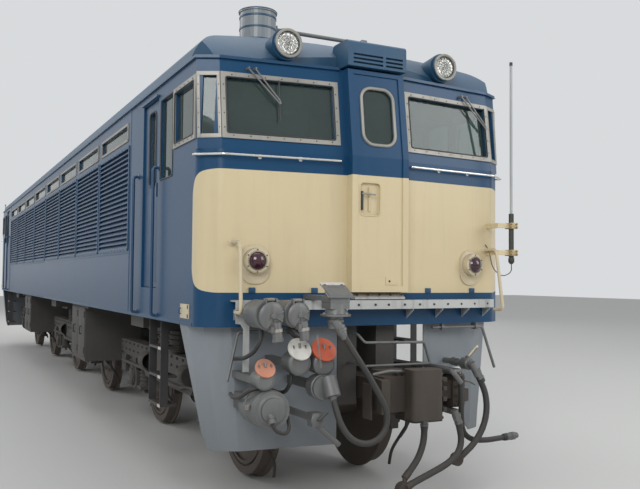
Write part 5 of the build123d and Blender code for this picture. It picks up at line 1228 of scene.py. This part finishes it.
# %% Pipes and their unions
PIPES = (([(790, 300, 1050), (790, -180, 1050), (822, -250, 985)], 23.5, 50, 16),
         ([(610, 300, 690), (610, -280, 690), (541, -352, 664)], 23.5, 40, 16),
         ([(600, 300, 1020), (600, -330, 1020), (500, -345, 1020)], 16, 40, 12))
STUB_END = (1150, -250, 453)
UNIONS = (((822, -250, 978), (0.5, -0.2, -1)), ((541, -352, 660), (0.3, -0.1, -1)),
          ((240, -345, 664), (0, 0, -1)), (STUB_END, (-1, 0, -0.05)))
UNION = [(0, -34), (36, -34), (36, -6), (31, -4), (31, 26), (34, 28), (34, 44), (27, 46)]
CLIP = [(29, 40), (30, 60), (27, 62), (27, 74), (26, 76)]
pipes = bmesh.new()
for points, radius, bend, steps in PIPES:
    add_tube(pipes, points, radius, bend, steps=steps)
add_lathe(pipes, [(0, -48), (40, -48), (48, -40), (48, 40), (40, 48), (0, 48)], (786, -145, 1050), OUT, 0, 24)
for spot, way in UNIONS:
    add_lathe(pipes, UNION, spot, way, 0, 6)
    add_lathe(pipes, CLIP, spot, way, 1, 20)
add_lathe(pipes, [(0, 72), (20, 72), (24, 66), (24, 30)], STUB_END, (1, 0, 0.05), 0, 20)
print("pipes", len(PIPES), "unions", len(UNIONS))

# %% Cocks, guard rail and stub hose
for spot in ((790, 20, 1050), (610, 0, 690)):
    add_lathe(pipes, [(0, -22), (36, -22), (38, -16), (38, 16), (36, 22), (0, 22)], spot, OUT, 0, 6)
    add_lathe(pipes, [(30, -40), (30, 40)], spot, OUT, 0, 16)
add_plate(pipes, [(776, -152, 1098), (804, -152, 1098), (902, -156, 1186), (888, -156, 1200)], (0, 8, 0), 2,
          2)
add_lathe(pipes, [(16, 0), (16, 22), (0, 26)], (790, -150, 1092), UP, 0, 6)
GUARD_RAIL = [(-207, 128, 1310), (-207, -90, 1310), (-171, -150, 1247), (367, -150, 1237),
              (425, -150, 1068), (-161, -150, 1068), (-161, 128, 1068)]
STUB_HOSE = [(577, -350, 938), (590, -340, 800), (610, -310, 640), (660, -270, 520), (760, -250, 455),
             (900, -248, 440), (1138, -250, 452)]
add_tube(pipes, GUARD_RAIL, 11, 22, steps=12)
add_tube(pipes, STUB_HOSE, 22, 90, slot=1, steps=14)
make_piece("pipe_work", pipes, ["gear", "rubber", "bar"])
print("pipe triangles", made["pipe_work"])

# %% [markdown]
# ## Pins, bolt heads and brackets
# Pins and large bolts hold the castings, and the ledge over the coupler stands on small brackets. The bolt
# heads come from the tree, because only their places differ. The brackets are thin plates, and one loop
# over their places draws all of them.

# %% Pins and plates of the coupler
bm = bmesh.new()
add_box(bm, (150, -346, 1002), (410, -70, 1010), 1, 3)
add_lathe(bm, [(34, 0), (34, 26), (28, 32), (0, 32)], (20, -330, 1003), UP, 0, 24)
add_lathe(bm, [(26, 0), (26, 34), (18, 40), (0, 40)], (520, -200, 990), UP, 0, 24)
add_box(bm, (-242, -360, 700), (-228, -240, 960), 0, 3)
add_tube(bm, [(20, -330, 1030), (20, -380, 1046), (-120, -420, 1060), (-260, -420, 1040)], 11, 30, slot=1,
         steps=10)
add_tube(bm, [(650, -210, 900), (720, -250, 930), (760, -300, 900)], 9, 20, slot=1, steps=10)
for z in (740, 820, 900, 968):
    add_box(bm, (400, -366, z - 20), (436, -300, z + 12), 0, 3)
make_piece("coupler_fittings", bm, ["iron", "gear"])
print("coupler fittings", made["coupler_fittings"])

# %% Bolts of the coupler and the ledge
heads = [((x, -302, z), OUT) for x in (562, 628) for z in (760, 830, 900, 960)]
heads += [((x, -352, z), OUT) for x in (168, 232, 328, 392) for z in (676, 970)]
heads += [((x, y, 1012), UP) for x in (176, 280, 384) for y in (-320, -100)]
copy_field("coupler_bolts", "bolts", heads, "iron", radius=0.016, height=0.014, sides=6)
heads = both_sides([((x, face_back(x, 0) - 116, 1534), OUT) for x in range(60, 1171, 148)])
heads += [((x, face_back(x, 0) - 55, 1570), UP) for x in range(-1120, 1121, 160)]
heads += [((x, -52, 1608), (0, -0.5, 0.86)) for x in (-190, -90, 12, 114, 214)]
copy_field("ledge_bolts", "bolts", heads, "iron", both_ends=True, radius=0.010, height=0.008, sides=6)
print("bolts", made["coupler_bolts"], made["ledge_bolts"])

# %% Ledge brackets
bm = bmesh.new()
for s in (-1, 1):
    for x in (300, 610, 900, 1140):
        back = face_back(x, 0)
        outline = ((back, 1500), (back - 100, 1500), (back - 100, 1488), (back, 1420))
        add_plate(bm, [(s * x - 5, y, z) for y, z in outline], (10, 0, 0), 0, 1)
    for x in (520, 1010):
        back = face_back(x, 0)
        add_box(bm, (s * x - 26, back - 12, 1622), (s * x + 26, back + 2, 1662), 1, 4)
make_piece("ledge_brackets", bm, ["silver", "plain_blue"], end="both")
print("brackets", made["ledge_brackets"])

# %% [markdown]
# ## Wipers
# Each wiper has two parallel rods on two pivots, so that its blade stays upright as it sweeps. The packed
# part keeps few faces, so it is drawn again here in the same place, with both rods, the pivots and the
# blade.

# %% Wipers
PIVOT_Z, ROD_GAP = 3320, 55
BLADE_LOW, BLADE_HIGH, HOLDER_Z = 2930, 3250, 3069
PIVOT = [(13, -4), (13, 10), (9, 16), (9, 34), (5, 40), (0, 40)]
bm = bmesh.new()
for side, pivot_x, foot_x in ((-1, 1036, 796), (1, 936, 1204)):
    for n in (0, 1):
        x = side * pivot_x + n * ROD_GAP
        back = face_back(x, PIVOT_Z)
        foot = (side * foot_x, face_back(foot_x, 3058) - 30, 3058 + n * 22)
        add_tube(bm, [(x, back - 30, PIVOT_Z), foot], 6, steps=8)
        add_lathe(bm, PIVOT, (x, back, PIVOT_Z), FACE_OUT, 0, 16)
    blade = [(side * foot_x, face_back(foot_x, z) - 18, z) for z in (BLADE_LOW, BLADE_HIGH)]
    add_tube(bm, blade, 5, steps=8, slot=1)
    holder = [(side * foot_x, face_back(foot_x, HOLDER_Z) - out, HOLDER_Z) for out in (34, 12)]
    add_tube(bm, holder, 9, steps=10)
make_piece("wiper_arms", bm, ["wiper_arm", "black"], end="both", stands_for=("wipers",))
print("wipers", made["wiper_arms"])

# %% [markdown]
# ## Body sides
# Both sides are rows of eight equal panels, so the frames round the louvres and the skylights come from one
# tree with two sets of sizes. Bolts, a lid over the filler and the strip along the sill finish the sheet.

# %% Panel frames and their screws
PANELS = 8
FIRST_PANEL = 2380 - 1000 * HALF_LENGTH     # its front edge, in millimetres from the middle of the body
middles = [FIRST_PANEL + 1000 * PANEL_PITCH * (k + 0.5) for k in range(PANELS)]
panels = [((s * 1403, y, 2516), (s, 0, 0)) for s in (-1, 1) for y in middles]
lights = [((x, y, 3181), way) for (x, y, z), way in panels]
copy_field("louvre_frames", "panels", panels, "plain_blue", origin=0.0, length=1.446, height=1.022, bar=0.026,
           proud=0.014)
copy_field("skylight_frames", "panels", lights, "alloy", origin=0.0, length=1.318, height=0.160, bar=0.024,
           proud=0.012)
screws = [((s * 1410, y + u, z), (s, 0, 0)) for s in (-1, 1) for y in middles for u in range(-700, 701, 140)
          for z in (2005, 3027)]
screws += [((s * 1401, y, 1388), (s, 0, 0)) for s in (-1, 1) for y in range(-8100, 8101, 180)]
copy_field("panel_screws", "bolts", screws, "plain_blue", origin=0.0, radius=0.008, height=0.004, sides=6)
print("side frames", made["louvre_frames"], made["skylight_frames"], "screws", len(screws))

# %% Sill strip, filler lid and door gutter
bm = bmesh.new()
for low, high, slot, bevel in (
        ((1398, 300, 1369), (1404, 8500, 1396), 0, 1), ((1398, 2352, 1960), (1403, 8500, 1984), 0, 1),
        ((1398, 366, 1420), (1408, 580, 1530), 1, 3)):
    add_box(bm, low, high, slot, bevel)
for z in (1440, 1510):
    add_tube(bm, [(1409, 380, z - 14), (1409, 380, z + 14)], 6, slot=0, steps=8)
handle = [(x, 560, z) for x, z in ((1406, 1455), (1422, 1455), (1422, 1495), (1406, 1495))]
add_tube(bm, handle, 5, 8, slot=0, steps=8)
add_box(bm, (1398, 1322, 3306), (1424, 1876, 3322), 0, 3)
for y in (2352, 2372):
    add_box(bm, (1398, y - 3, 1400), (1402, y + 3, 3380), 0, 1)
mirror_in_x(bm)
make_piece("side_strips", bm, ["plain_blue", "bar"], end="both")
print("side strips", made["side_strips"])

# %% [markdown]
# ## Roof gear
# High-voltage parts stand on ribbed porcelain, whose sheds keep rain from making one wet path down to the
# roof. A shed insulator is a saw-tooth profile turned round its post, so one profile serves the posts of
# the pantographs and the supports of the bus bar alike.

# %% Shed insulators under the pantographs
PANTOGRAPHS = ((1, -6.2), (2, 6.2))      # number, and place along the body in metres


def shed_profile(core, reach, height, sheds):
    """Saw-tooth profile: a core with evenly spaced sheds that slope down."""
    profile = [(0, 0), (core, 0)]
    pitch = height / sheds
    for k in range(sheds):
        foot = k * pitch
        profile += [(core, foot + pitch * 0.25), (reach, foot + pitch * 0.35), (reach, foot + pitch * 0.48),
                    (core, foot + pitch * 0.85)]
    return profile + [(core, height), (0, height)]


for n, place in PANTOGRAPHS:
    bm = bmesh.new()
    for y in (-560, 560):
        for x in (-540, 540):
            add_lathe(bm, shed_profile(56.5, 84, 176, 4), (x, y, 3644), UP, 0, 24)
    make_piece("pantograph_%d_insulators" % n, bm, ["insulator"], origin=place)
print("insulators", made["pantograph_1_insulators"])

# %% Bus bar on its supports
BUS_X, BUS_Z = 950, 3842
bm = bmesh.new()
for y in range(-5000, 5001, 1250):
    add_lathe(bm, shed_profile(28, 52, 150, 4), (BUS_X, y, 3672), UP, 0, 20)
    add_lathe(bm, [(50, -22), (50, 4), (0, 4)], (BUS_X, y, 3668), UP, 1, 20)
    add_box(bm, (BUS_X - 26, y - 26, BUS_Z - 22), (BUS_X + 26, y + 26, BUS_Z + 10), 1, 4)
add_tube(bm, [(BUS_X, -5100, BUS_Z), (BUS_X, 5100, BUS_Z)], 14, slot=2, steps=12)
for s in (-1, 1):
    add_tube(bm, [(BUS_X, s * 5090, BUS_Z), (BUS_X, s * 5400, BUS_Z), (700, s * 5560, BUS_Z + 8),
                  (566, s * 5700, BUS_Z + 8)], 12, 120, slot=2, steps=12)
make_piece("bus_bar", bm, ["insulator", "roof", "copper"], origin=0.0)
print("bus bar", made["bus_bar"])

# %% Bands of the drum and slats of the ventilators
DRUM_X, DRUM_Y = -680, 850
bm = bmesh.new()
for z in (3745, 3850, 3950):
    add_lathe(bm, [(156, 0), (160, 2), (160, 16), (156, 18)], (DRUM_X, DRUM_Y, z), UP, 0, 48)
add_lathe(bm, [(166, 0), (168, 4), (160, 12), (120, 22), (0, 28)], (DRUM_X, DRUM_Y, 4010), UP, 0, 48)
add_lathe(bm, [(190, 0), (190, 30), (158, 44)], (DRUM_X, DRUM_Y, 3690), UP, 0, 48)
make_piece("arrester_bands", bm, ["roof"], end="both")
bm = bmesh.new()
for y in (-2100, -700, 700, 2100):
    for s in (-1, 1):
        for z in range(3650, 3821, 34):
            add_plate(bm, [(s * 778, y - 600, z), (s * 778, y + 600, z), (s * 796, y + 600, z - 14),
                           (s * 796, y - 600, z - 14)], (0, 0, 4), 0, 0)
    for k in (-2, -1, 0, 1, 2):
        add_box(bm, (-690, y + 300 * k - 8, 3888), (690, y + 300 * k + 8, 3896), 0, 2)
make_piece("ventilator_slats", bm, ["roof"], origin=0.0)
print("bands and slats", made["arrester_bands"], made["ventilator_slats"])

# %% [markdown]
# ## Springs and collector strips
# The strips that rub along the contact wire lie on the head of each pantograph, and long springs in its
# base pull the frames up. The strips and their clamps ride the head's body, so they rise with it. The
# springs stay with the base, because a spring that stretches would have to change its shape.

# %% Collector strips and raising springs
for n, place in PANTOGRAPHS:
    bm = bmesh.new()
    for y in (-280, 280):
        add_box(bm, (-600, y - 14, 4059), (600, y + 14, 4068), 0, 2)
        for x in (-600, -300, 0, 300, 600):
            add_box(bm, (x - 16, y - 33, 4030), (x + 16, y + 33, 4063), 1, 3)
    make_piece("collector_strips_%d" % n, bm, ["copper", "pantograph"], "pantograph_%d_head_arm" % n,
               origin=place)
    bm = bmesh.new()
    for x in (-200, 200):
        add_coil(bm, (x, -170, 3850), 26, 7, 340, 16, way=(0, 1, 0), slot=0)
        add_tube(bm, [(x, -262, 3850), (x, 262, 3850)], 9, slot=0, steps=10)
        for s in (-1, 1):
            add_box(bm, (x - 20, s * 262 - 14, 3836), (x + 20, s * 262 + 14, 3868), 0, 4)
    make_piece("pantograph_springs_%d" % n, bm, ["pantograph"], origin=place)
print("pantograph pieces", made["collector_strips_1"], made["pantograph_springs_1"])

# %% [markdown]
# ## Bogies
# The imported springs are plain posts. Coiled wire round each, from the spring tree, makes them springs, and
# covers with bolts, brake rods, sand boxes and sand pipes finish the side that shows. All ride on their
# bogie.

# %% Places of the bogies and their springs
BOGIE_SPACING = 5.85                    # metres between the pivots
BOGIES = [("bogie_%d" % n, n, (n - 2) * BOGIE_SPACING) for n in (1, 2, 3)]
HALF_BASE, AXLE_Z, FRAME_X = 1400, 560, 850
axle_feet = [((s * FRAME_X, a * HALF_BASE + b * 260, 474), UP)
             for s in (-1, 1) for a in (-1, 1) for b in (-1, 1)]
body_feet = [((s * FRAME_X, b * 200, 968), UP) for s in (-1, 1) for b in (-1, 1)]
print("springs on a bogie", len(axle_feet) + len(body_feet))

# %% Axle covers and brake rods


def add_axle_gear(bm, y):
    """Cover, guides, spring seats and brake hangers at one axle."""
    cover = [(112, -2), (112, 12), (96, 18), (92, 30), (70, 36), (30, 38), (0, 44)]
    add_lathe(bm, cover, (940, y, AXLE_Z), RIGHT, 0, 32)
    add_box(bm, (782, y - 176, 470), (938, y - 152, 640), 0, 4)
    add_box(bm, (782, y + 152, 470), (938, y + 176, 640), 0, 4)
    for b in (-260, 260):
        add_lathe(bm, [(74, 0), (74, 14), (60, 20)], (FRAME_X, y + b, 466), UP, 0, 20)
        add_lathe(bm, [(18, 0), (18, 40), (10, 46), (0, 46)], (FRAME_X, y + b, 430), (0, 0, -1), 0, 6)
    for s in (-1, 1):
        hanger = [(700, y + s * 640, 700), (700, y + s * 640, 420), (640, y + s * 620, 330)]
        add_tube(bm, hanger, 16, 30, slot=0, steps=10)


def add_brake_rod(bm):
    """Rod along the frame, cranked over the middle."""
    half = [(1900, 700), (760, 700), (600, 660)]
    rod = [(952, -y, z) for y, z in half] + [(952, y, z) for y, z in half[::-1]]
    add_tube(bm, rod, 17, 60, slot=0, steps=10)


print("axle gear helpers", add_axle_gear.__name__, add_brake_rod.__name__)

# %% Sand boxes and brake cylinders


def add_end_gear(bm, s):
    """Sand box with its pipe, and the brake cylinder, at one end of the frame."""
    add_box(bm, (790, s * 1830, 560), (930, s * 2060, 776), 0, 14)
    add_lathe(bm, [(44, 0), (44, 16), (20, 22), (0, 22)], (860, s * 1945, 776), UP, 0, 20)
    sand_pipe = [(830, s * 2010, 570), (700, s * 2030, 420), (560, s * 2005, 220), (558, s * 1975, 90)]
    add_tube(bm, sand_pipe, 14, 80, slot=1, steps=10)
    add_lathe(bm, [(90, 0), (96, 10), (96, 190), (90, 200), (0, 204)], (930, s * 640, 800), (0, s, 0), 0, 24)
    add_tube(bm, [(930, s * 840, 800), (930, s * 990, 800), (930, s * 1060, 700)], 14, 40, slot=1, steps=10)


print("end gear helper", add_end_gear.__name__)

# %% One set for each bogie
heads = [((s * 958, y + u, AXLE_Z + v), (s, 0, 0)) for s in (-1, 1) for y in (-HALF_BASE, HALF_BASE)
         for u, v in on_circle(6, 102)]
heads += [((s * 930, y, z), (s, 0, 0)) for s in (-1, 1) for y in range(-2000, 2001, 200) for z in (850, 930)]
for body, n, place in BOGIES:
    copy_field("axle_springs_%d" % n, "springs", axle_feet, "bogie", body, place, radius=0.055, wire=0.013,
               height=0.310, turns=7.0)
    copy_field("body_springs_%d" % n, "springs", body_feet, "bogie", body, place, radius=0.100, wire=0.016,
               height=0.205, turns=4.0)
    bm = bmesh.new()
    for y in (-HALF_BASE, HALF_BASE):
        add_axle_gear(bm, y)
    add_brake_rod(bm)
    for s in (-1, 1):
        add_end_gear(bm, s)
    mirror_in_x(bm)
    make_piece("bogie_gear_%d" % n, bm, ["bogie", "iron"], body, place)
    copy_field("bogie_bolts_%d" % n, "bolts", heads, "bogie", body, place, radius=0.014, height=0.014,
               sides=6)
print("bogie triangles", made["bogie_gear_1"], made["axle_springs_1"], made["bogie_bolts_1"])

# %% [markdown]
# ## Wheels
# A wheel is turned from steel, with a rim, a hub and round holes in its web. The imported wheel has a plain
# web, so thin turned rings in front of it show the edges of rim and hub, and black dished discs stand for
# the holes, as painted shade where each hole would show the dark behind the web. All of them ride the
# wheelset's own body and roll with it.

# %% Rims, hubs and the painted shade of the holes
HUB_X, HOLE_RADIUS = 620, 300
for n in range(1, 7):
    place = BOGIES[(n - 1) // 2][2] + (-HALF_BASE if n % 2 else HALF_BASE) / 1000
    bm = bmesh.new()
    add_lathe(bm, [(470, 0), (470, 3), (440, 3), (440, 0)], (HUB_X - 1, 0, AXLE_Z), RIGHT, 0, 64)
    add_lathe(bm, [(176, 0), (170, 12), (132, 16), (130, 0)], (HUB_X, 0, AXLE_Z), RIGHT, 0, 48)
    for u, v in on_circle(6, HOLE_RADIUS):
        # Black dished discs of painted shade stand in for the holes in the web
        add_lathe(bm, [(34, 0), (34, 3), (22, 3), (20, -4), (0, -4)], (HUB_X, u, AXLE_Z + v), RIGHT, 1, 20)
    mirror_in_x(bm)
    make_piece("wheel_rims_%d" % n, bm, ["wheel", "black"], "wheelset_body_%d" % n, place)
print("wheel details", made["wheel_rims_1"])

# %% [markdown]
# ## Under the floor, steps and aerial
# The cases between the bogies open with hinged doors, the steps have worn bright edges, and the aerial's
# pole is held by two clamps with a wire that loops back to the cab.

# %% Case doors and step edges
CASE_PLACE = 2925      # from the middle of the body to the middle of the cases
bm = bmesh.new()
for y0 in (CASE_PLACE, -CASE_PLACE):
    for y in (y0 - 480, y0 + 10):
        add_box(bm, (1318, y, 690), (1330, y + 470, 1330), 0, 4)
        handle = [(x, y + 235, z) for x, z in ((1330, 980), (1352, 980), (1352, 1080), (1330, 1080))]
        add_tube(bm, handle, 8, 12, slot=1, steps=8)
        for z in (780, 1240):
            add_tube(bm, [(1332, y + 12, z - 40), (1332, y + 12, z + 40)], 10, slot=1, steps=10)
            add_box(bm, (1328, y + 10, z - 14), (1334, y + 120, z + 14), 1, 2)
    for y in (y0 + 300, y0 - 400):
        add_lathe(bm, [(202, 0), (206, 3), (206, 30), (202, 33)], (0, y, 1060), (0, 1, 0), 1, 40)
mirror_in_x(bm)
make_piece("case_doors", bm, ["frame", "iron"], origin=0.0)
bm = bmesh.new()
for z in (620, 870, 1120):
    add_box(bm, (1318, 1404, z - 22), (1334, 1482, z + 2), 0, 2)
    for y in range(1420, 1790, 40):
        add_box(bm, (1190, y, z - 1), (1322, y + 8, z + 4), 1, 1)
mirror_in_x(bm)
make_piece("step_edges", bm, ["white", "iron"], end="both")
print("floor and steps", made["case_doors"], made["step_edges"])

# %% Aerial clamps and its wire
POLE_X, POLE_Y = 1335, -50
bm = bmesh.new()
for z in (1968, 2201):
    for y in (-90, -34):
        add_box(bm, (1296, y, z - 26), (1372, y + 24, z + 26), 0, 4)
    add_tube(bm, [(POLE_X, POLE_Y, z - 22), (POLE_X, POLE_Y, z + 22)], 27, slot=0, steps=20)
    for x in (1306, 1362):
        for dz in (-14, 14):
            add_lathe(bm, [(8, -74), (8, 8), (0, 8)], (x, -92, z + dz), OUT, 0, 6)
add_lathe(bm, [(0, -30), (14, -26), (26, -10), (26, 20), (23, 26)], (POLE_X, POLE_Y, 1900), UP, 1, 20)
add_tube(bm, [(POLE_X, POLE_Y, 3600), (POLE_X, POLE_Y, 3630)], 14, slot=1, steps=12)
wire = [(POLE_X, POLE_Y, 1880), (1330, -60, 1800), (1250, -30, 1760), (1190, 20, 1830), (1180, 60, 1990),
        (1176, 100, 2040)]
add_tube(bm, wire, 4, 70, slot=1, steps=8)
make_piece("aerial_clamps", bm, ["brass", "black"], end="both")
print("aerial clamps", made["aerial_clamps"])

# %% [markdown]
# ## Inside the cabs
# Through the panes seats, gauges and a row of switches can be made out. Only what the glass lets through is
# drawn, in plain rounded shapes, because everything behind tinted glass is dark and small.

# %% Cab fittings seen through the glass
SEAT_X = 740
GAUGE = [(55, -4), (55, 26), (50, 30), (46, 26), (0, 26)]
bm = bmesh.new()
for x in (-SEAT_X, SEAT_X):
    add_box(bm, (x - 228, 972, 2036), (x + 228, 1268, 2164), 2, 34)
    add_box(bm, (x - 228, 1222, 2140), (x + 228, 1312, 2662), 2, 34)
    for k in (-1, 0, 1):
        add_lathe(bm, GAUGE, (x + 130 * k, 400, 2490), (0, 0.7, 0.71), 1, 24)
    add_lathe(bm, [(62, -40), (62, 60), (54, 68), (0, 68)], (x - 200, 440, 2450), (0, 0.4, 0.9), 1, 24)
    add_tube(bm, [(x - 200, 455, 2500), (x - 200, 470, 2590), (x - 90, 470, 2600)], 11, 24, slot=2, steps=10)
    add_plate(bm, [(x - 260, 352, 3130), (x + 260, 352, 3130), (x + 260, 330, 3290), (x - 260, 330, 3290)],
              (0, 6, 0), 3, 2)
    add_tube(bm, [(x + 290, 300, 2560), (x + 290, 300, 2900), (x + 330, 330, 3080)], 9, 60, slot=2, steps=10)
add_box(bm, (-210, 1500, 2900), (210, 1520, 3060), 3, 6)
make_piece("cab_fittings", bm, ["inside", "machine", "black", "green"], end="both")
print("pieces", len(made), "triangles", sum(made.values()))

# %% [markdown]
# ## The hoses and the jumper cable
# Rubber hoses hang in smooth curves, which straight segments would not show. A NURBS curve with the hose's
# route as its control points bends the way rubber does, and its bevel gives it a round section.

# %% Routes of the cords
HOSES = {
    "right_hose": ([(822, -250, 960), (862, -262, 880), (882, -275, 795), (880, -288, 705), (856, -300, 618),
                    (812, -310, 538), (752, -318, 468), (682, -325, 410), (615, -330, 372)], 0.711),
    "cross_hose": ([(541, -352, 644), (566, -360, 560), (566, -372, 480), (530, -388, 410), (465, -400, 362),
                    (385, -410, 325), (290, -418, 294), (195, -426, 265), (120, -433, 243), (70, -437, 226)],
                   0.747),
    "coupler_hose": ([(240, -345, 640), (236, -352, 560), (215, -362, 480), (175, -374, 408),
                      (125, -385, 350), (70, -395, 302)], 0.397),
}
CABLE_ROUTE = [(-545, -485, 1345), (-470, -520, 1210), (-380, -560, 1060), (-300, -585, 915),
               (-245, -600, 803), (-249, -602, 693), (-314, -602, 610), (-415, -595, 581), (-514, -570, 617),
               (-570, -535, 700), (-596, -500, 800), (-605, -455, 905)]
HOSE_RADIUS, CABLE_RADIUS, CABLE_LENGTH = 0.025, 0.022, 1.374
print("routes", len(HOSES) + 1)

# %% Hoses and cable


def in_frame(point):
    """Place in the model's metres of a point in the leading face's millimetres."""
    x, y, z = point
    return Vector((x / 1000, y / 1000 - HALF_LENGTH, z / 1000 + TREAD))


def hang_cord(name, route, radius):
    """Round rubber along its route."""
    data = bpy.data.curves.new(name, "CURVE")
    data.dimensions = "3D"
    data.resolution_u = 10
    data.bevel_depth = radius
    data.bevel_resolution = 6
    data.use_fill_caps = True
    spline = data.splines.new("NURBS")
    spline.points.add(len(route) - 1)
    for point, place in zip(spline.points, route):
        point.co = (*in_frame(place), 1.0)
    spline.order_u = 3
    spline.use_endpoint_u = True
    cord = bpy.data.objects.new(name, data)
    bpy.context.scene.collection.objects.link(cord)
    data.materials.append(FINISH["rubber"])
    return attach(cord, "body")


for name, (route, length) in HOSES.items():
    hose = hang_cord(name, route, HOSE_RADIUS)
    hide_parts("air_hoses")
cable = hang_cord("hanging_jumper", CABLE_ROUTE, CABLE_RADIUS)
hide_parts("jumper_cable")
print("hoses", len(HOSES), "and one cable")

# %% [markdown]
# ## Floor, backdrop and light
# Shape and colour of the locomotive should speak for themselves, so a plain studio is enough: a pale floor,
# large soft lamps in front, above and behind, and an even sky. The sky is brighter to rays that come from
# the camera, through glass or off a shine, so the panes mirror a light sky and the paint still stays deep.

# %% Floor and lamps
FLOOR_SIDE = 60.0
LAMPS = (("left front", (-9, -20, 9), (0, -7, 2), 7.0, 1050),      # name, place, target, size and power
         ("right front", (11, -17, 8), (0, -7, 2), 8.0, 650),
         ("above", (0, -4, 14), (0, -4, 0), 12.0, 650),
         ("back left", (-17, 13, 12), (0, 7, 2), 8.0, 1000),
         ("back right", (10, 20, 8), (0, 7, 2), 8.0, 700))


def add_floor():
    """Pale plane on which the wheels stand."""
    mesh = bpy.data.meshes.new("floor")
    corners = [(x * FLOOR_SIDE, y * FLOOR_SIDE, 0) for x, y in ((-1, -1), (1, -1), (1, 1), (-1, 1))]
    mesh.from_pydata(corners, [], [(0, 1, 2, 3)])
    floor = bpy.data.objects.new("floor", mesh)
    bpy.context.scene.collection.objects.link(floor)
    material, tree, shader = new_material("pale floor", Roughness=0.7, Base_Color=(0.62, 0.62, 0.60, 1))
    mesh.materials.append(material)
    return floor


def add_lamp(name, place, target, size, power):
    """Square soft lamp that looks at its target."""
    data = bpy.data.lights.new(name, "AREA")
    data.size = size
    data.energy = power
    lamp = bpy.data.objects.new(name, data)
    lamp.location = place
    lamp.rotation_euler = (Vector(target) - Vector(place)).to_track_quat("-Z", "Y").to_euler()
    bpy.context.scene.collection.objects.link(lamp)
    return lamp


add_floor()
for lamp in LAMPS:
    add_lamp(*lamp)
print("lamps", len(LAMPS))

# %% Sky
SKY_COLOUR = (0.86, 0.88, 0.90, 1)
SKY_LEVEL, SEEN_MORE = 0.52, 0.28
world = bpy.data.worlds.new("studio")
bpy.context.scene.world = world
world.use_nodes = True
sky = world.node_tree.nodes["Background"]
sky.inputs[0].default_value = SKY_COLOUR
seen = add_node(world.node_tree, "ShaderNodeLightPath").outputs
direct = maths(world.node_tree, "MAXIMUM", seen["Is Camera Ray"], seen["Is Transmission Ray"])
direct = maths(world.node_tree, "MAXIMUM", direct, seen["Is Glossy Ray"])
level = maths(world.node_tree, "ADD", SKY_LEVEL, maths(world.node_tree, "MULTIPLY", direct, SEEN_MORE))
world.node_tree.links.new(level, sky.inputs[1])
bpy.context.scene.view_settings.view_transform = "Standard"
print("sky set at", SKY_LEVEL)

# %% [markdown]
# ## The end

print("scene finished")
